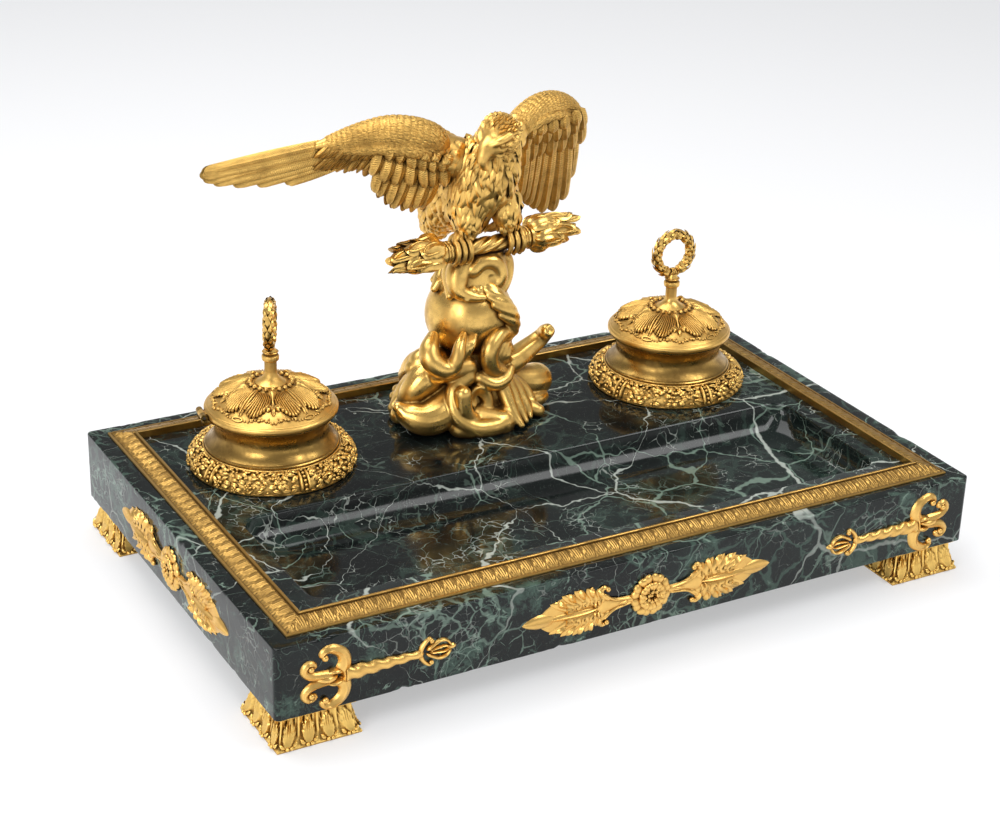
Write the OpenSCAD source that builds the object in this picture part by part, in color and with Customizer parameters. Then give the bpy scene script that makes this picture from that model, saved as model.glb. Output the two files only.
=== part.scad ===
// Desk inkstand: a marble slab on four gilt feet, with a carved pen tray, two lidded
// inkwells and an eagle that holds a thunderbolt over a globe in clouds.
// The origin is on the desk, in the middle of the stand's footprint. Front is -Y.

/* [Marble slab] */
// Length of the slab, left to right
slab_w = 430; // [414:1:470]
// Depth of the slab, front to back
slab_d = 273; // [262:1:300]
// Thickness of the slab
slab_t = 41; // [34:1:52]
// Radius of the slab's upright corners
slab_corner = 3; // [1:0.5:6]

/* [Pen tray] */
// Length of the tray at its lip
tray_l = 356; // [300:1:364]
// Width of the tray at its lip
tray_w = 96; // [70:1:98]
// Depth of the tray
tray_depth = 16.5; // [10:0.5:22]
// Distance from the slab's front face to the tray's front lip
tray_front = 36.4; // [30:0.2:42]
// Plan radius of the tray's corners
tray_corner = 10; // [5:0.5:16]
// Radius of the cove along the tray's front and ends
tray_cove = 14; // [6:0.5:18]
// Radius of the broad cove along the tray's back
tray_back_cove = 22; // [10:0.5:28]

/* [Top frame] */
// Marble left bare outside the frame at each end
frame_margin_x = 10; // [6:0.5:14]
// Marble left bare outside the frame at front and back
frame_margin_y = 9; // [5:0.5:12]
// Width of the frame's moulding
frame_face = 13.6; // [10:0.2:16]
// Height of the frame's inner wall
frame_h = 4.6; // [3:0.2:8]
// Width of the flat fillet along the frame's inner edge
frame_fillet = 2.8; // [1.5:0.1:4]
// Height of the thin outer fillet
frame_edge = 1.3; // [0.8:0.1:2]

/* [Feet] */
// Height of each foot
foot_h = 19; // [14:0.5:26]
// Side of the square that stands on the desk
foot_base = 50; // [40:1:60]
// Side of the square neck under the ledge
foot_neck = 38; // [30:1:44]
// Side of the ledge that carries the slab
foot_ledge = 42; // [34:1:48]
// Height of that ledge
foot_ledge_h = 2.4; // [1.5:0.1:4]
// How far each foot reaches past the slab's faces
foot_flare = 1.2; // [0.5:0.1:4]
// Radius of the screw that holds each foot
foot_screw_r = 2.5; // [2:0.1:3.5]
// How far each foot's screw goes into the marble
foot_screw_bite = 14; // [8:1:18]

/* [Face mounts] */
// Thickness of the palmettes and torches
mount_t = 2.6; // [1.6:0.1:4]
// Height of a mount's centre line above the slab's underside
mount_rise = 18.5; // [16:0.5:22]
// Reach of each palmette from the rosette's centre to its tip
palmette_l = 77.7; // [70:0.1:84]
// Half height of a palmette's fan
palmette_half = 13.2; // [10:0.2:15]
// Radius of the rosettes
rosette_r = 12.4; // [10:0.2:14]
// How far the rosettes stand proud of the marble
rosette_proud = 5; // [3.5:0.1:7]
// Length of each torch mount
torch_l = 85.5; // [78:0.5:92]
// Distance from the slab's end to the torch's outer scrolls
torch_inset = 14; // [10:0.5:20]
// Half height of the torch's cross scrolls
torch_half = 17; // [12:0.5:18]
// Radius of the pins cast on the back of each mount
mount_pin_r = 1.2; // [0.8:0.1:1.6]
// Length of those pins
mount_pin_l = 8; // [5:0.5:12]

/* [Inkwells] */
// Distance of each inkwell's axis from its end of the slab
well_inset = 82; // [80:1:90]
// Distance of the inkwells' axes from the slab's back
well_back_inset = 81.5; // [76:0.5:86]
// Outer radius of the garland flange
flange_r = 48.1; // [44:0.1:50]
// Height of the garland flange
flange_h = 12; // [9:0.5:15]
// Radius of the body's foot on the flange
body_foot_r = 38; // [36:0.1:40]
// Radius of the body's waist
waist_r = 32; // [30.6:0.1:34]
// Height of the body's rim above the marble
rim_z = 33; // [29:0.5:38]
// Radius of the body's rim
rim_r = 36.4; // [35:0.1:38]
// Radius of the bore that holds the glass liner
well_bore_r = 27; // [25:0.1:28]
// Inner radius of the glass liner
liner_r = 23.5; // [21:0.1:24]
// Wall of the glass liner
liner_wall = 2.1; // [1.5:0.1:2.6]
// Height of the glass liner
liner_h = 23.5; // [18:0.5:24]
// Radius of the bolt that holds each inkwell to the slab
well_bolt_r = 3; // [2:0.1:4]

/* [Inkwell lids] */
// Radius of the lid's rim
lid_r = 37.7; // [36.6:0.1:39]
// Height of the lid's plain rim
lid_rim_h = 3.4; // [2:0.1:5]
// Rise of the lid's dome above its rim
dome_rise = 12; // [8:0.5:16]
// Radius of the flat top under the finial
dome_top_r = 11.5; // [9:0.1:13]
// Thickness of the lid's casting
lid_wall = 1.8; // [1.2:0.1:2.6]
// Number of acanthus leaves on the dome
lid_leaves = 12; // [8:1:16]
// How far those leaves stand proud of the dome
leaf_proud = 0.8; // [0.4:0.1:1.4]
// Height of the finial's turned stem
stem_h = 19.2; // [14:0.2:26]
// Radius of the stem's trumpet foot
stem_foot_r = 9; // [7:0.1:11]
// Radius of the wreath's centre line
wreath_r = 11.8; // [9:0.1:14]
// Half thickness of the wreath
wreath_t = 2.7; // [2:0.1:3.4]
// Direction of the left inkwell's hinge, seen from above
left_hinge_az = 172; // [150:1:190]
// Direction of the right inkwell's hinge, seen from above
right_hinge_az = 90; // [70:1:110]
// Turn of the left wreath about its stem
left_wreath_az = 62; // [0:1:90]
// Turn of the right wreath about its stem
right_wreath_az = 0; // [-30:1:30]
// Radius of each hinge pin
hinge_pin_r = 0.8; // [0.6:0.05:1]
// Outer radius of the hinge knuckles
knuckle_r = 1.9; // [1.6:0.1:2]
// Running clearance of the lid's knuckle on its pin
run_clear = 0.06; // [0.03:0.01:0.1]

/* [Eagle and clouds] */
// Distance of the eagle's column from the slab's back
eagle_back_inset = 66.5; // [62:0.5:72]
// Radius of the globe
globe_r = 26; // [22:0.5:28]
// Height of the globe's centre above the marble
globe_z = 62; // [56:0.5:66]
// Reach of the cloud base from its axis
cloud_r = 43; // [38:0.5:48]
// Height of the thunderbolt's axis above the marble
bolt_z = 108; // [104:0.5:112]
// Distance of the thunderbolt in front of the column's axis
bolt_fore = 12; // [9:0.5:14]
// Length of the thunderbolt
bolt_l = 134; // [120:1:146]
// Radius of the thunderbolt's twisted grip
bolt_r = 5; // [4:0.1:6]
// Turn of the thunderbolt in plan
bolt_yaw = 4; // [0:0.5:8]
// Height of the eagle's crown above the thunderbolt's axis
eagle_h = 83; // [76:0.5:90]
// Reach of the spread wing from the body's middle line
wing_reach = 158; // [144:1:170]
// Radius of the rod that ties the group to the slab
tie_r = 3.5; // [2.5:0.1:4.5]

/* [Fits] */
// Gap between castings that are seated on each other
seat_gap = 0.3; // [0.2:0.05:0.5]
// Radial clearance of bolts and rods in their holes
bolt_clear = 0.4; // [0.2:0.05:0.8]

/* [Hidden] */
$fn = 64;
gold = "goldenrod";
old_gold = "darkgoldenrod";

// Planes and places that several pieces share
mid_y = (rosette_proud - foot_flare) / 2;
front_y = mid_y - slab_d / 2;
back_y = mid_y + slab_d / 2;
top_z = foot_h + slab_t;
mount_z = foot_h + mount_rise;
well_x = slab_w / 2 - well_inset;
well_y = back_y - well_back_inset;
eagle_y = back_y - eagle_back_inset;
frame_l = slab_w - 2 * frame_margin_x;
frame_d = slab_d - 2 * frame_margin_y;
foot_x = slab_w / 2 + foot_flare - foot_base / 2;
foot_y = slab_d / 2 + foot_flare - foot_base / 2;

// Pockets under the slab for nuts, and the nuts and washers in them
pocket_r = 9;
pocket_deep = 10;
nut_r = 6;
nut_t = 4.6;
washer_r = 8;
washer_t = 1.2;
thread_clear = 0.02;

// Heights inside an inkwell, measured from the marble
body_floor = 4;
bolt_head_r = 7;
bolt_head_t = 2.2;
liner_rim_r = well_bore_r + 1.4;
liner_rim_t = 1.5;
register_deep = 2;
register_t = 1.4;
liner_top = rim_z - register_deep - 0.5;
lid_top = rim_z + lid_rim_h + dome_rise;
register_r = liner_rim_r - 0.3;
hinge_r = lid_r + knuckle_r + 0.3;
hinge_z = rim_z + 1.6;
knuckle_half = 6.2;
lid_knuckle_half = 2.3;
knuckle_gap = 0.3;
stud_r = 2;
finial_nut_t = 2.6;
wreath_z = lid_top + stem_h + wreath_r + wreath_t + 1.2;

// Joints of the eagle group, measured from the marble at the column's axis
column_foot = globe_z + 20;
column_top = bolt_z - bolt_r - seat_gap;
tie_top = column_top - 6;
crown_z = bolt_z + eagle_h;

// Points on a leaf of unit length and half width, from root to tip and back
function leaf_edge(l, w, n = 8) = [for (i = [0:n]) [l * i / n, w * pow(sin(180 * pow(i / n, 1.25)), 0.8)]];
function leaf(l, w, n = 8) = concat(leaf_edge(l, w, n), [for (i = [n - 1:-1:1]) [l * i / n,
    -w * pow(sin(180 * pow(i / n, 1.25)), 0.8)]]);
function unit(v) = v / norm(v);

module rounded_plan(l, w, r) {
    square([l - 2 * r, w], center = true);
    square([l, w - 2 * r], center = true);
    for (x = [-1, 1], y = [-1, 1])
        translate([x * (l / 2 - r), y * (w / 2 - r)]) circle(r);
}

// Cross-section of a trough with a cove of radius a on the left and b on the right
module trough(w, h, a, b) {
    intersection() {
        square([w, h]);
        union() {
            translate([a, 0]) square([w - a - b, h]);
            translate([a, a]) circle(a);
            translate([0, a]) square([a, h]);
            translate([w - b, b]) circle(b);
            translate([w - b, b]) square([b, h]);
        }
    }
}

// A pointed leaf plan between radii a and b, made of two arcs that bulge by w
module lens(a, b, w) {
    half = (b - a) / 2;
    r = (half * half + w * w) / (2 * w);
    intersection_for(side = [-1, 1]) translate([a + half, side * (r - w)]) circle(r);
}

module tray_pocket() {
    deep = tray_depth + 1;
    translate([0, front_y + tray_front, top_z - tray_depth])
        intersection() {
            translate([0, tray_w / 2, 0])
                linear_extrude(deep) rounded_plan(tray_l, tray_w, tray_corner);
            translate([-tray_l / 2, 0, 0]) rotate([90, 0, 90])
                linear_extrude(tray_l) trough(tray_w, deep, tray_cove, tray_back_cove);
            translate([-tray_l / 2, tray_w, 0]) rotate([90, 0, 0])
                linear_extrude(tray_w) trough(tray_l, deep, tray_cove, tray_cove);
        }
}

// A through bore with a pocket for its nut in the slab's underside
module slab_bore(x, y, r) {
    translate([x, y, foot_h - 1]) cylinder(h = slab_t + 2, r = r);
    translate([x, y, foot_h - 1]) cylinder(h = pocket_deep + 1, r = pocket_r);
}

module pin_hole(depth) {
    translate([0, 0, -1]) cylinder(h = depth + 1.5, r = mount_pin_r + thread_clear, $fn = 24);
}

// Places of the pins on the back of a palmette and of a torch, along the mount
palmette_pin = 0.55 * palmette_l;
torch_pins = [0.3 * torch_l, 0.77 * torch_l];

// Each face mount lies in XY with its back at z = 0, then stands on a face of the slab
module on_front(x) {
    translate([x, front_y, mount_z]) rotate([90, 0, 0]) children();
}
module on_side(side, y) {
    translate([side * slab_w / 2, y, mount_z]) rotate([90, 0, side * 90]) children();
}

module marble_slab() {
    color("darkslategray") difference() {
        translate([0, mid_y, foot_h]) linear_extrude(slab_t) rounded_plan(slab_w, slab_d, slab_corner);
        tray_pocket();
        for (s = [-1, 1]) slab_bore(s * well_x, well_y, well_bolt_r + bolt_clear);
        slab_bore(0, eagle_y, tie_r + bolt_clear);
        for (x = [-1, 1], y = [-1, 1])
            translate([x * foot_x, mid_y + y * foot_y, foot_h - 1])
                cylinder(h = foot_screw_bite + 1.5, r = foot_screw_r + thread_clear, $fn = 32);
        for (x = [-palmette_pin, 0, palmette_pin]) {
            on_front(x) rotate([180, 0, 0]) pin_hole(mount_pin_l);
            on_side(-1, mid_y + x) rotate([180, 0, 0]) pin_hole(mount_pin_l);
            on_side(1, mid_y + x) rotate([180, 0, 0]) pin_hole(mount_pin_l);
        }
        for (s = [-1, 1], u = torch_pins)
            on_front(s * (slab_w / 2 - torch_inset - torch_l + u)) rotate([180, 0, 0]) pin_hole(mount_pin_l);
    }
}

// Section of the frame: outer edge at x = 0, a swelling leaf-cut slope, then a raised inner fillet
frame_slope_in = frame_face - frame_fillet - 1;
module frame_section() {
    slope = [for (i = [0:8]) [1.6 + (frame_slope_in - 1.6) * i / 8,
        frame_edge + (frame_h - frame_edge - 0.5) * sin(90 * i / 8)]];
    polygon(concat([[0, 0], [0, frame_edge], [1.6, frame_edge]], slope,
        [[frame_slope_in, frame_h - 1.1], [frame_slope_in + 1, frame_h - 1.1],
         [frame_slope_in + 1, frame_h], [frame_face, frame_h], [frame_face, 0]]));
}

// One rail along X with its outer edge at y = 0, mitred at both ends
module frame_rail(l) {
    intersection() {
        translate([-l / 2, 0, 0]) rotate([90, 0, 90]) linear_extrude(l) frame_section();
        linear_extrude(frame_h) polygon([[-l / 2, 0], [l / 2, 0],
            [l / 2 - frame_face, frame_face], [-l / 2 + frame_face, frame_face]]);
    }
}

module frame_front() {
    color(old_gold) translate([0, mid_y - frame_d / 2, top_z]) frame_rail(frame_l);
}
module frame_back() {
    color(old_gold) translate([0, mid_y + frame_d / 2, top_z]) rotate([0, 0, 180]) frame_rail(frame_l);
}
module frame_left() {
    color(old_gold) translate([-frame_l / 2, mid_y, top_z]) rotate([0, 0, -90]) frame_rail(frame_d);
}
module frame_right() {
    color(old_gold) translate([frame_l / 2, mid_y, top_z]) rotate([0, 0, 90]) frame_rail(frame_d);
}

// Profile of a foot: a low plinth, a hollow splay and a square ledge
module foot_profile() {
    b = foot_base / 2;
    n = foot_neck / 2;
    neck_z = foot_h - foot_ledge_h;
    splay = [for (i = [0:6]) [b - 0.8 - (b - 0.8 - n) * sin(90 * i / 6),
        1.8 + (neck_z - 1.8) * (1 - cos(90 * i / 6) * 0.55 - 0.45 * (1 - i / 6))]];
    right = concat([[b, 0], [b, 1.8]], splay, [[foot_ledge / 2, neck_z], [foot_ledge / 2, foot_h]]);
    polygon(concat(right, [for (i = [len(right) - 1:-1:0]) [-right[i][0], right[i][1]]]));
}

module foot(x, y) {
    color(gold) translate([x * foot_x, mid_y + y * foot_y, 0]) difference() {
        intersection() {
            rotate([90, 0, 0]) translate([0, 0, -foot_base / 2]) linear_extrude(foot_base) foot_profile();
            rotate([90, 0, 90]) translate([0, 0, -foot_base / 2]) linear_extrude(foot_base) foot_profile();
        }
        translate([0, 0, -1]) cylinder(h = foot_h + 2, r = foot_screw_r + bolt_clear, $fn = 32);
        translate([0, 0, -1]) cylinder(h = foot_h - 6, r = 2.4 * foot_screw_r, $fn = 32);
    }
}
module foot_front_left() { foot(-1, -1); }
module foot_front_right() { foot(1, -1); }
module foot_back_left() { foot(-1, 1); }
module foot_back_right() { foot(1, 1); }

// Round-headed screws, one up through each foot into the marble
module foot_screws() {
    color("gray") for (x = [-1, 1], y = [-1, 1])
        translate([x * foot_x, mid_y + y * foot_y, foot_h - 7 - 2.5]) {
            cylinder(h = 2.5, r = 2 * foot_screw_r, $fn = 32);
            cylinder(h = 2.5 + 7 + foot_screw_bite - 0.5, r = foot_screw_r, $fn = 32);
        }
}

// Palmette along +X from the rosette: a waisted stem, two curls, a fan of leaves and a spear leaf
module palmette_plan() {
    k = palmette_l / 77.7;
    h = palmette_half / 13.2;
    polygon([[rosette_r * 0.82, -2.6], [16 * k, -2.4], [24 * k, -5.4 * h], [33 * k, -7 * h],
        [33 * k, 7 * h], [24 * k, 5.4 * h], [16 * k, 2.4], [rosette_r * 0.82, 2.6]]);
    for (s = [-1, 1]) {
        translate([27 * k, s * 8.4 * h]) circle(2.1, $fn = 24);
        translate([23.5 * k, s * 4.4 * h]) rotate(s * 50) translate([0, -1.3]) square([5.4, 2.6]);
        for (tip = [[37, 12.2], [45.5, 13.2], [54.5, 12], [62.5, 8.4]]) {
            end = [tip[0] * k - 27 * k, tip[1] * h];
            translate([27 * k, 0]) rotate(s * atan2(end[1], end[0])) polygon(leaf(norm(end), 3.9));
        }
    }
    translate([27 * k, 0]) polygon(leaf(38 * k, 5.5));
    translate([57 * k, 0]) polygon(leaf(palmette_l - 57 * k, 4.3));
}

// Raised leaf ribs on the palmette's face
module palmette_ribs() {
    k = palmette_l / 77.7;
    h = palmette_half / 13.2;
    for (tip = [[37, 12.2], [45.5, 13.2], [54.5, 12], [62.5, 8.4], [75, 0]], s = [-1, 1]) {
        end = [tip[0] * k - 29 * k, s * tip[1] * h];
        if (s > 0 || tip[1] > 0)
            translate([29 * k, 0]) rotate(atan2(end[1], end[0]))
                translate([1, -0.6]) square([norm(end) * 0.86, 1.2]);
    }
}

module palmette() {
    linear_extrude(mount_t - 0.7) palmette_plan();
    linear_extrude(mount_t) intersection() {
        palmette_plan();
        palmette_ribs();
    }
    translate([palmette_pin, 0, -mount_pin_l]) cylinder(h = mount_pin_l + 1, r = mount_pin_r, $fn = 24);
}

// Rosette: two rings of petals round a hollow cup
module rosette() {
    linear_extrude(mount_t * 0.8) {
        circle(rosette_r * 0.55);
        for (i = [0:7]) rotate(45 * i) translate([rosette_r * 0.66, 0]) circle(rosette_r * 0.34);
    }
    linear_extrude(mount_t * 1.3)
        for (i = [0:7]) rotate(45 * i + 22.5) translate([rosette_r * 0.38, 0]) circle(rosette_r * 0.19);
    rotate_extrude() polygon([[0, -mount_pin_l], [mount_pin_r, -mount_pin_l], [mount_pin_r, 0.5],
        [rosette_r * 0.3, 0.6], [rosette_r * 0.27, rosette_proud - 0.5], [rosette_r * 0.22, rosette_proud],
        [rosette_r * 0.14, rosette_proud - 0.6], [0, rosette_proud - 1.8]]);
}

module palmette_seat() {
    difference() {
        palmette();
        translate([0, 0, -1]) cylinder(h = 2 * mount_t, r = rosette_r + 0.05);
    }
}

module front_palmette_left() { color(gold) on_front(0) rotate([0, 0, 180]) palmette_seat(); }
module front_palmette_right() { color(gold) on_front(0) palmette_seat(); }
module front_rosette() { color(gold) on_front(0) rosette(); }
module left_palmette_front() { color(gold) on_side(-1, mid_y) palmette_seat(); }
module left_palmette_back() { color(gold) on_side(-1, mid_y) rotate([0, 0, 180]) palmette_seat(); }
module left_rosette() { color(gold) on_side(-1, mid_y) rosette(); }
module right_palmette_front() { color(gold) on_side(1, mid_y) rotate([0, 0, 180]) palmette_seat(); }
module right_palmette_back() { color(gold) on_side(1, mid_y) palmette_seat(); }
module right_rosette() { color(gold) on_side(1, mid_y) rosette(); }

// Torch mount from its tip at the origin to its outer scrolls at x = torch_l
module torch_plan() {
    hub = 0.77 * torch_l;
    polygon(leaf(16, 2));
    translate([hub - 2, -3.4]) square([torch_l - hub - 4, 6.8]);
    polygon([[14, -1.7], [hub, -4], [hub, 4], [14, 1.7]]);
    translate([hub, 0]) circle(7);
    for (s = [-1, 1]) {
        translate([10.4, s * 3.3]) difference() {
            circle(3.5, $fn = 32);
            circle(1.7, $fn = 32);
        }
        translate([20, 0]) rotate(s * 118) polygon(leaf(8.4, 1.9));
        translate([18.4, s * 7.4]) circle(1.7, $fn = 24);
        translate([hub + 3, 0]) rotate(s * 106) polygon(leaf(torch_half - 2, 4.8));
        translate([hub + 1, s * (torch_half - 3)]) circle(3, $fn = 32);
        translate([torch_l - 4.4, s * 4.6]) circle(4.2, $fn = 32);
    }
}

module torch() {
    hub = 0.77 * torch_l;
    linear_extrude(mount_t) torch_plan();
    intersection() {
        translate([20, 0, 0]) rotate([0, 90, 0]) cylinder(h = hub - 20, r1 = mount_t, r2 = mount_t + 1);
        translate([0, -10, 0]) cube([torch_l, 20, 2 * mount_t]);
    }
    for (u = torch_pins)
        translate([u, 0, -mount_pin_l]) cylinder(h = mount_pin_l + 1, r = mount_pin_r, $fn = 24);
}
module torch_left() {
    color(gold) on_front(-slab_w / 2 + torch_inset + torch_l) mirror([1, 0, 0]) torch();
}
module torch_right() {
    color(gold) on_front(slab_w / 2 - torch_inset - torch_l) torch();
}

module at_well(side) {
    translate([side * well_x, well_y, top_z]) children();
}

// Outline of the garland flange, swelling by grow
function flange_edge(grow) = [for (i = [0:10])
    [body_foot_r + 0.6 + (flange_r - body_foot_r - 0.6 + grow) * cos(90 * i / 10),
     1.6 + (flange_h - 1.6 + grow) * sin(90 * i / 10)]];
flange_in = 30;

module flange(side) {
    at_well(side) {
        rotate_extrude() polygon(concat([[flange_in, 0], [flange_r - 1.4, 0]], flange_edge(0),
            [[body_foot_r + 0.6, flange_h], [flange_in, flange_h]]));
        // Flat bands that bind the garland
        intersection() {
            rotate_extrude() polygon(concat([[flange_in + 1, 0.1], [flange_r - 1, 0.1]], flange_edge(0.7),
                [[flange_in + 1, flange_h - 0.1]]));
            for (i = [0:5]) rotate(28 + 60 * i)
                translate([body_foot_r + 2, -2.4, 0.2]) cube([14, 4.8, flange_h + 2]);
        }
    }
}
module left_flange() { color(gold) flange(-1); }
module right_flange() { color(gold) flange(1); }

// Hinge knuckles and lugs that point away from the inkwell's axis
module body_knuckles(az) {
    rotate(az) difference() {
        for (s = [-1, 1]) {
            length = knuckle_half - lid_knuckle_half - knuckle_gap;
            middle = s * (knuckle_half + lid_knuckle_half + knuckle_gap) / 2;
            translate([hinge_r, middle, hinge_z]) rotate([90, 0, 0])
                cylinder(h = length, r = knuckle_r, center = true, $fn = 32);
            translate([rim_r - 2, middle - length / 2, rim_z - 2.6])
                cube([hinge_r - rim_r + 2 + knuckle_r * 0.6, length, 2.3]);
            translate([lid_r + 0.3, middle - length / 2, rim_z - 2.6])
                cube([knuckle_r * 1.6, length, hinge_z - rim_z + 2.6]);
        }
        translate([hinge_r, 0, hinge_z]) rotate([90, 0, 0])
            cylinder(h = 3 * knuckle_half, r = hinge_pin_r + 0.01, center = true, $fn = 32);
    }
}

module well_body(side, az) {
    waist_z = (flange_h + rim_z) / 2;
    side_line = [for (i = [0:12]) let (t = i / 12) [waist_r + (t < 0.5 ? body_foot_r - 0.6 - waist_r
        : rim_r - 0.6 - waist_r) * pow(abs(2 * t - 1), 2.2), flange_h + 1.8 + (rim_z - flange_h - 3.6) * t]];
    at_well(side) {
        difference() {
            union() {
                rotate_extrude() polygon(concat([[0, 0], [flange_in - 0.2, 0], [flange_in - 0.2, flange_h],
                    [body_foot_r, flange_h], [body_foot_r, flange_h + 1.8]], side_line,
                    [[rim_r, rim_z - 1.8], [rim_r, rim_z], [0, rim_z]]));
            }
            translate([0, 0, body_floor]) cylinder(h = rim_z, r = well_bore_r);
            translate([0, 0, liner_top - liner_rim_t]) cylinder(h = 9, r = liner_rim_r + 0.2);
            translate([0, 0, -1]) cylinder(h = rim_z, r = well_bolt_r + bolt_clear);
        }
        body_knuckles(az);
    }
}
module left_well_body() { color(old_gold) well_body(-1, left_hinge_az); }
module right_well_body() { color(old_gold) well_body(1, right_hinge_az); }

module ink_liner(side) {
    at_well(side) translate([0, 0, liner_top - liner_h]) difference() {
        union() {
            cylinder(h = liner_h, r = liner_r + liner_wall);
            translate([0, 0, liner_h - liner_rim_t]) cylinder(h = liner_rim_t, r = liner_rim_r);
        }
        translate([0, 0, liner_wall + 0.6]) cylinder(h = liner_h, r = liner_r);
    }
}
module left_ink_liner() { color("lightcyan") ink_liner(-1); }
module right_ink_liner() { color("lightcyan") ink_liner(1); }

module well_bolt(side) {
    at_well(side) {
        translate([0, 0, body_floor]) cylinder(h = bolt_head_t, r = bolt_head_r);
        translate([0, 0, -slab_t + 2]) cylinder(h = slab_t - 2 + body_floor + 1, r = well_bolt_r, $fn = 32);
    }
}
module left_well_bolt() { color("gray") well_bolt(-1); }
module right_well_bolt() { color("gray") well_bolt(1); }

// A hexagon nut on its washer, up against the ceiling of a pocket in the slab
module slab_nut(x, y, r) {
    translate([x, y, foot_h + pocket_deep - washer_t - nut_t]) difference() {
        union() {
            cylinder(h = nut_t + 0.1, r = nut_r, $fn = 6);
            translate([0, 0, nut_t]) cylinder(h = washer_t, r = washer_r);
        }
        translate([0, 0, -1]) cylinder(h = nut_t + washer_t + 2, r = r + thread_clear, $fn = 32);
    }
}
module left_well_nut() { color("gray") slab_nut(-well_x, well_y, well_bolt_r); }
module right_well_nut() { color("gray") slab_nut(well_x, well_y, well_bolt_r); }

// The dome is a slice of a sphere that passes through the rim's edge and the flat top's edge
dome_foot_z = rim_z + lid_rim_h - 0.6;
dome_foot_r = lid_r - 0.6;
dome_z = (dome_top_r * dome_top_r + lid_top * lid_top - dome_foot_r * dome_foot_r - dome_foot_z * dome_foot_z)
    / (2 * (lid_top - dome_foot_z));
dome_r = norm([dome_foot_r, dome_foot_z - dome_z]);
module dome(grow, r, z0, z1) {
    intersection() {
        translate([0, 0, dome_z]) sphere(dome_r + grow, $fn = 128);
        translate([0, 0, z0]) cylinder(h = z1 - z0, r = r);
    }
}

module lid(side, az) {
    at_well(side) difference() {
        union() {
            rotate_extrude() polygon([[0, rim_z], [lid_r - 0.8, rim_z], [lid_r, rim_z + 0.8],
                [lid_r, rim_z + lid_rim_h - 1.2], [dome_foot_r, dome_foot_z], [0, dome_foot_z]]);
            dome(0, dome_foot_r + 1, dome_foot_z - 1, lid_top);
            // Acanthus leaves raised on the dome
            intersection() {
                dome(leaf_proud, dome_foot_r, dome_foot_z, lid_top + leaf_proud);
                translate([0, 0, dome_foot_z]) linear_extrude(dome_rise + 4)
                    for (i = [0:lid_leaves - 1]) rotate(360 * i / lid_leaves)
                        lens(dome_top_r - 2, lid_r - 1.8, 4.4);
            }
            // Bead moulding round the foot of the stem
            rotate_extrude() translate([dome_top_r - 0.6, lid_top - 0.2]) circle(1.2, $fn = 32);
            // Middle knuckle of the hinge and its web
            rotate(az) {
                translate([hinge_r, 0, hinge_z]) rotate([90, 0, 0])
                    cylinder(h = 2 * lid_knuckle_half, r = knuckle_r, center = true, $fn = 32);
                translate([lid_r - 2, -lid_knuckle_half, hinge_z - 0.9])
                    cube([hinge_r - lid_r + 2, 2 * lid_knuckle_half, 1.8]);
            }
            translate([0, 0, rim_z - register_deep]) cylinder(h = register_deep + 2, r = register_r);
        }
        dome(-lid_wall, dome_foot_r - lid_wall, rim_z + 1.6, lid_top - lid_wall);
        translate([0, 0, rim_z - register_deep - 1])
            cylinder(h = register_deep + 3, r = register_r - register_t);
        cylinder(h = 2 * lid_top, r = stud_r + thread_clear, $fn = 32);
        rotate(az) translate([hinge_r, 0, hinge_z]) rotate([90, 0, 0])
            cylinder(h = 3 * knuckle_half, r = hinge_pin_r + run_clear, center = true, $fn = 32);
    }
}
module left_lid() { color(gold) lid(-1, left_hinge_az); }
module right_lid() { color(gold) lid(1, right_hinge_az); }

module hinge_pin(side, az) {
    at_well(side) rotate(az) translate([hinge_r, 0, hinge_z]) rotate([90, 0, 0])
        cylinder(h = 2 * knuckle_half + 0.4, r = hinge_pin_r, center = true, $fn = 32);
}
module left_hinge_pin() { color("gray") hinge_pin(-1, left_hinge_az); }
module right_hinge_pin() { color("gray") hinge_pin(1, right_hinge_az); }

// Turned stem: trumpet foot, slim neck and a cupped collar, with its stud below
module finial_stem(side) {
    neck_z = 0.4 * stem_h;
    trumpet = [for (i = [0:8]) [3.5 + (stem_foot_r - 3.5) * pow(1 - i / 8, 2.4), 1 + (neck_z - 1) * i / 8]];
    at_well(side) translate([0, 0, lid_top]) {
        rotate_extrude() polygon(concat([[0, 0], [stem_foot_r, 0]], trumpet, [[3.5, stem_h - 5],
            [4.9, stem_h - 4.2], [4.9, stem_h - 2.6], [3.9, stem_h - 1.8], [4.7, stem_h], [0, stem_h]]));
        translate([0, 0, -lid_wall - finial_nut_t - 1])
            cylinder(h = lid_wall + finial_nut_t + 2, r = stud_r, $fn = 32);
    }
}
module left_finial_stem() { color(gold) finial_stem(-1); }
module right_finial_stem() { color(gold) finial_stem(1); }

module finial_nut(side) {
    at_well(side) translate([0, 0, lid_top - lid_wall - finial_nut_t]) difference() {
        cylinder(h = finial_nut_t, r = 2.1 * stud_r, $fn = 6);
        translate([0, 0, -1]) cylinder(h = finial_nut_t + 2, r = stud_r + thread_clear, $fn = 32);
    }
}
module left_finial_nut() { color("gray") finial_nut(-1); }
module right_finial_nut() { color("gray") finial_nut(1); }

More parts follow.
